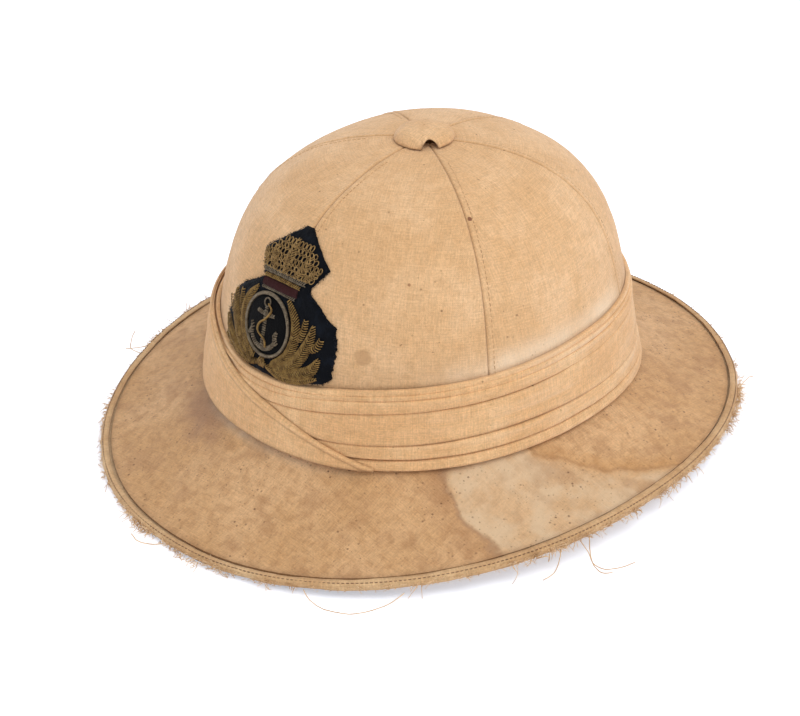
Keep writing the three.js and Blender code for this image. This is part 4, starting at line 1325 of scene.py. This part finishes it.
    def crown_fan(self) -> None:
        """Build the fan of leaves, its rows of braid and the velvet band."""
        paths = [path for leaf in self.crest for path in self.strands(leaf)]
        table = np.array(self.outline)
        for z in np.arange(109.2, 121.5, 2.2):
            left, right = (np.interp(z, table[:, 0], table[:, k]) for k in (1, 2))
            for x in np.arange(left + 2.4, right - 1.8, 2.3):
                turn = spread(0, 2 * math.pi, 11) + x * z
                lift = self.bullion + 0.35 + 0.35 * np.cos(turn + z)
                paths.append(FORM.front(x + 1.05 * np.cos(turn), z + 1.05 * np.sin(turn), lift))
        self.lay("crest_bullion", paths, self.finishes.pale_gold, "gold_bullion", "badge_crest")
        rows = ((-16.4, 11.0, 107.0, 1.15, self.finishes.silver, "silver_wire", "crest_rim"),
                (-14.6, 8.6, 104.7, 0.75, self.finishes.gold, "gold_bullion", "crest_braid"),
                (-14.4, 7.4, 99.6, 0.65, self.finishes.silver, "silver_wire", "band_lower_cord"))
        for left, right, z, half, finish, slot, name in rows:
            row = Leaf(((left, z), ((left + right) / 2, z + 0.5), (right, z)), half, 0.9, 0.08)
            self.lay(name, self.strands(row), finish, slot)
        z, x = np.meshgrid(spread(100.3, 103.9, 14), spread(-14.2, 7.8, 50), indexing="ij")
        pad = self.bullion + 0.9 * np.sqrt(np.maximum(1 - ((z - 102.1) / 1.8) ** 2, 0))
        outer, inner = FORM.front(x, z, pad + 0.1 * noise(np.stack([x, z, z], -1), 2, 107)), FORM.front(x, z, 1.95)
        piece = plate("band_velvet", outer, inner, False, {"cloth": np.stack([x, z], -1) * MM}, blank(z))
        settle(piece, self.finishes.red, "red_velvet", "badge_crest_band")

    def oval(self) -> None:
        """Build the velvet oval and its wire."""
        turn, share = np.meshgrid(spread(0, 360, 97)[:-1], spread(1, 0.02, 16))
        angle = np.radians(turn)
        x = self.axis + self.oval_radius * share * np.cos(angle)
        z = self.oval_height + self.oval_radius * share * np.sin(angle)
        pad = self.bullion + 0.8 * np.sqrt(1 - share**2) + 0.05 * noise(np.stack([x, z, 0 * z], -1), 1.5, 109)
        outer, inner = FORM.front(x, z, pad), FORM.front(x, z, 1.95)
        maps = {"cloth": np.stack([np.concatenate([x, x[:, :1]], 1), np.concatenate([z, z[:, :1]], 1)], -1) * MM}
        piece = plate("oval_velvet", outer, inner, True, maps, blank(z))
        settle(piece, self.finishes.velvet, "black_velvet", "badge_oval")
        turn = np.radians(spread(0, 360, 720))
        twist = turn * 46
        paths = []
        for phase in (0, math.pi):
            radius = self.oval_radius + 0.55 + 0.42 * np.cos(twist + phase)
            lift = self.bullion + 0.75 + 0.42 * np.sin(twist + phase)
            paths.append(FORM.front(self.axis + radius * np.cos(turn), self.oval_height + radius * np.sin(turn), lift))
        self.lay("oval_wire", paths, self.finishes.silver, "silver_wire", "badge_oval_wire", radius=0.48)

    def anchor(self) -> None:
        """Build the plain anchor and its rope."""
        middle = -7.4
        arc = np.radians(spread(200, 340, 7))
        arms = tuple((middle + 8.6 * math.cos(a), 81.4 + 8.0 * math.sin(a)) for a in arc)
        shapes = (
            Leaf(((middle, 92.6), (middle, 83), (middle, 73.6)), 0.95, 0.5, 0.10),
            Leaf(((middle - 5.8, 89.6), (middle, 89.3), (middle + 5.8, 89.6)), 0.85, 0.5, 0.15),
            Leaf(arms, 1.05, 0.5, 0.15),
            Leaf(((middle - 9.6, 77.4), (middle - 7.6, 80.3), (middle - 8.7, 83.6)), 1.2, 0.4, 0.5),
            Leaf(((middle + 9.6, 77.4), (middle + 7.6, 80.3), (middle + 8.7, 83.6)), 1.2, 0.4, 0.5),
        )
        paths = [path for shape in shapes for path in self.strands(shape, lift=0.85)]
        ring = np.radians(spread(0, 360, 40))
        paths.append(FORM.front(middle + 1.9 * np.cos(ring), 94.7 + 1.9 * np.sin(ring), self.bullion + 1.2))
        self.lay("anchor_bullion", paths, self.finishes.silver, "silver_wire", "badge_anchor", radius=0.36)
        rope = ((1.6, 94.8), (4.2, 92.4), (1.4, 88), (-2.4, 84.6), (-2.6, 81.0), (2.3, 78.4), (3.4, 75.2))
        places, _, _ = self.route(rope, 260)
        twist = spread(0, 260 * 0.42, 260)
        cords = [FORM.front(middle + places[:, 0] + 0.26 * np.cos(twist + phase),
                            places[:, 1] + 0.26 * np.sin(twist + phase),
                            self.bullion + 2.1 + 0.24 * np.sin(twist + phase)) for phase in (0, math.pi)]
        self.lay("anchor_rope", cords, self.finishes.gold, "gold_bullion", radius=0.33)


@dataclass
class Studio:
    """The white table, soft light and camera."""

    azimuth: float = 44.0
    elevation: float = 30.83
    roll: float = 1.7
    distance: float = 906.7
    lens: float = 84.0
    subject: tuple[float, float, float] = (0.0, -20.4, 67.4)
    subject_right: float = -3.0
    subject_above: float = 28.7

    def camera(self) -> None:
        """Place the camera."""
        a, e, r = (math.radians(v) for v in (self.azimuth, self.elevation, self.roll))
        back = Vector((math.sin(a) * math.cos(e), -math.cos(a) * math.cos(e), math.sin(e)))
        right = Vector((math.cos(a), math.sin(a), 0))
        up = back.cross(right)
        right, up = right * math.cos(r) - up * math.sin(r), right * math.sin(r) + up * math.cos(r)
        place = Vector(self.subject) - right * self.subject_right - up * self.subject_above + back * self.distance
        data = bpy.data.cameras.new("camera")
        data.lens = self.lens
        data.sensor_width = 36
        data.clip_end = 20
        camera = bpy.data.objects.new("camera", data)
        camera.matrix_world = Matrix.Translation(place * MM) @ Matrix((right, up, back)).transposed().to_4x4()
        bpy.context.scene.collection.objects.link(camera)
        bpy.context.scene.camera = camera

    def lights(self) -> None:
        """Hang the soft lights and set the white surroundings."""
        for name, azimuth, elevation, away, size, power in (
                ("overhead", 105, 62, 1.5, 1.2, 8.5), ("left_fill", -40, 38, 1.7, 1.2, 0.8)):
            a, e = math.radians(azimuth), math.radians(elevation)
            back = Vector((math.sin(a) * math.cos(e), -math.cos(a) * math.cos(e), math.sin(e)))
            data = bpy.data.lights.new(name, "AREA")
            data.shape = "DISK"
            data.size = size
            data.energy = power
            light = bpy.data.objects.new(name, data)
            light.matrix_world = Matrix.Translation(back * away) @ back.to_track_quat("Z", "Y").to_matrix().to_4x4()
            bpy.context.scene.collection.objects.link(light)
        world = bpy.data.worlds.new("white_room")
        world.use_nodes = True
        background = world.node_tree.nodes["Background"]
        background.inputs["Color"].default_value = linear("#fbfcff")
        seen = add_node(world.node_tree, "ShaderNodeLightPath").outputs["Is Camera Ray"]
        strength = add_node(world.node_tree, "ShaderNodeMapRange", {"Value": seen, "To Min": 0.80, "To Max": 1.0})
        world.node_tree.links.new(strength.outputs[0], background.inputs["Strength"])
        bpy.context.scene.world = world
        bpy.context.scene.view_settings.view_transform = "Standard"

    def table(self) -> None:
        """Lay the white table top."""
        mesh = bpy.data.meshes.new("table_top")
        mesh.from_pydata([(-30, -30, 0), (30, -30, 0), (30, 30, 0), (-30, 30, 0)], [], [(0, 1, 2, 3)])
        top = bpy.data.objects.new("table_top", mesh)
        s = Shader("lit_opal_acrylic")
        glow = {"Emission_Color": linear("#eef3ff"), "Emission_Strength": 0.42}
        mesh.materials.append(s.finish(linear("#f4f6fa"), 0.6, None, 0.0, **glow))
        bpy.context.scene.collection.objects.link(top)


def main() -> None:
    """Build the helmet piece by piece, then the studio round it."""
    logging.basicConfig(level=logging.INFO, format="%(message)s")
    finishes = Finishes()
    cork = CorkBody(finishes=finishes)
    cork.crown()
    cork.brim()
    crown = CrownCover(finishes=finishes)
    for number in range(crown.panels):
        crown.panel(number)
    crown.stitches()
    VentButton(finishes=finishes).cap()
    brim = Brim(finishes=finishes)
    brim.cover()
    brim.leather()
    brim.binding()
    brim.stitches()
    brim.frays()
    brim.loose_threads()
    scarf = Puggaree(finishes=finishes)
    for fold in scarf.folds:
        scarf.fold(fold)
    scarf.wrap_layer("puggaree_end_under", 2.6, 3.1, 0.4, None)
    scarf.wrap_layer("puggaree_end", 0.0, 3.9, 0.0, "puggaree_cross_wrap")
    badge = Badge(finishes=finishes)
    badge.backing()
    badge.oval()
    badge.leaves()
    badge.crown_fan()
    badge.anchor()
    studio = Studio()
    studio.table()
    studio.lights()
    studio.camera()
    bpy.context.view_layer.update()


if __name__ == "__main__":
    main()
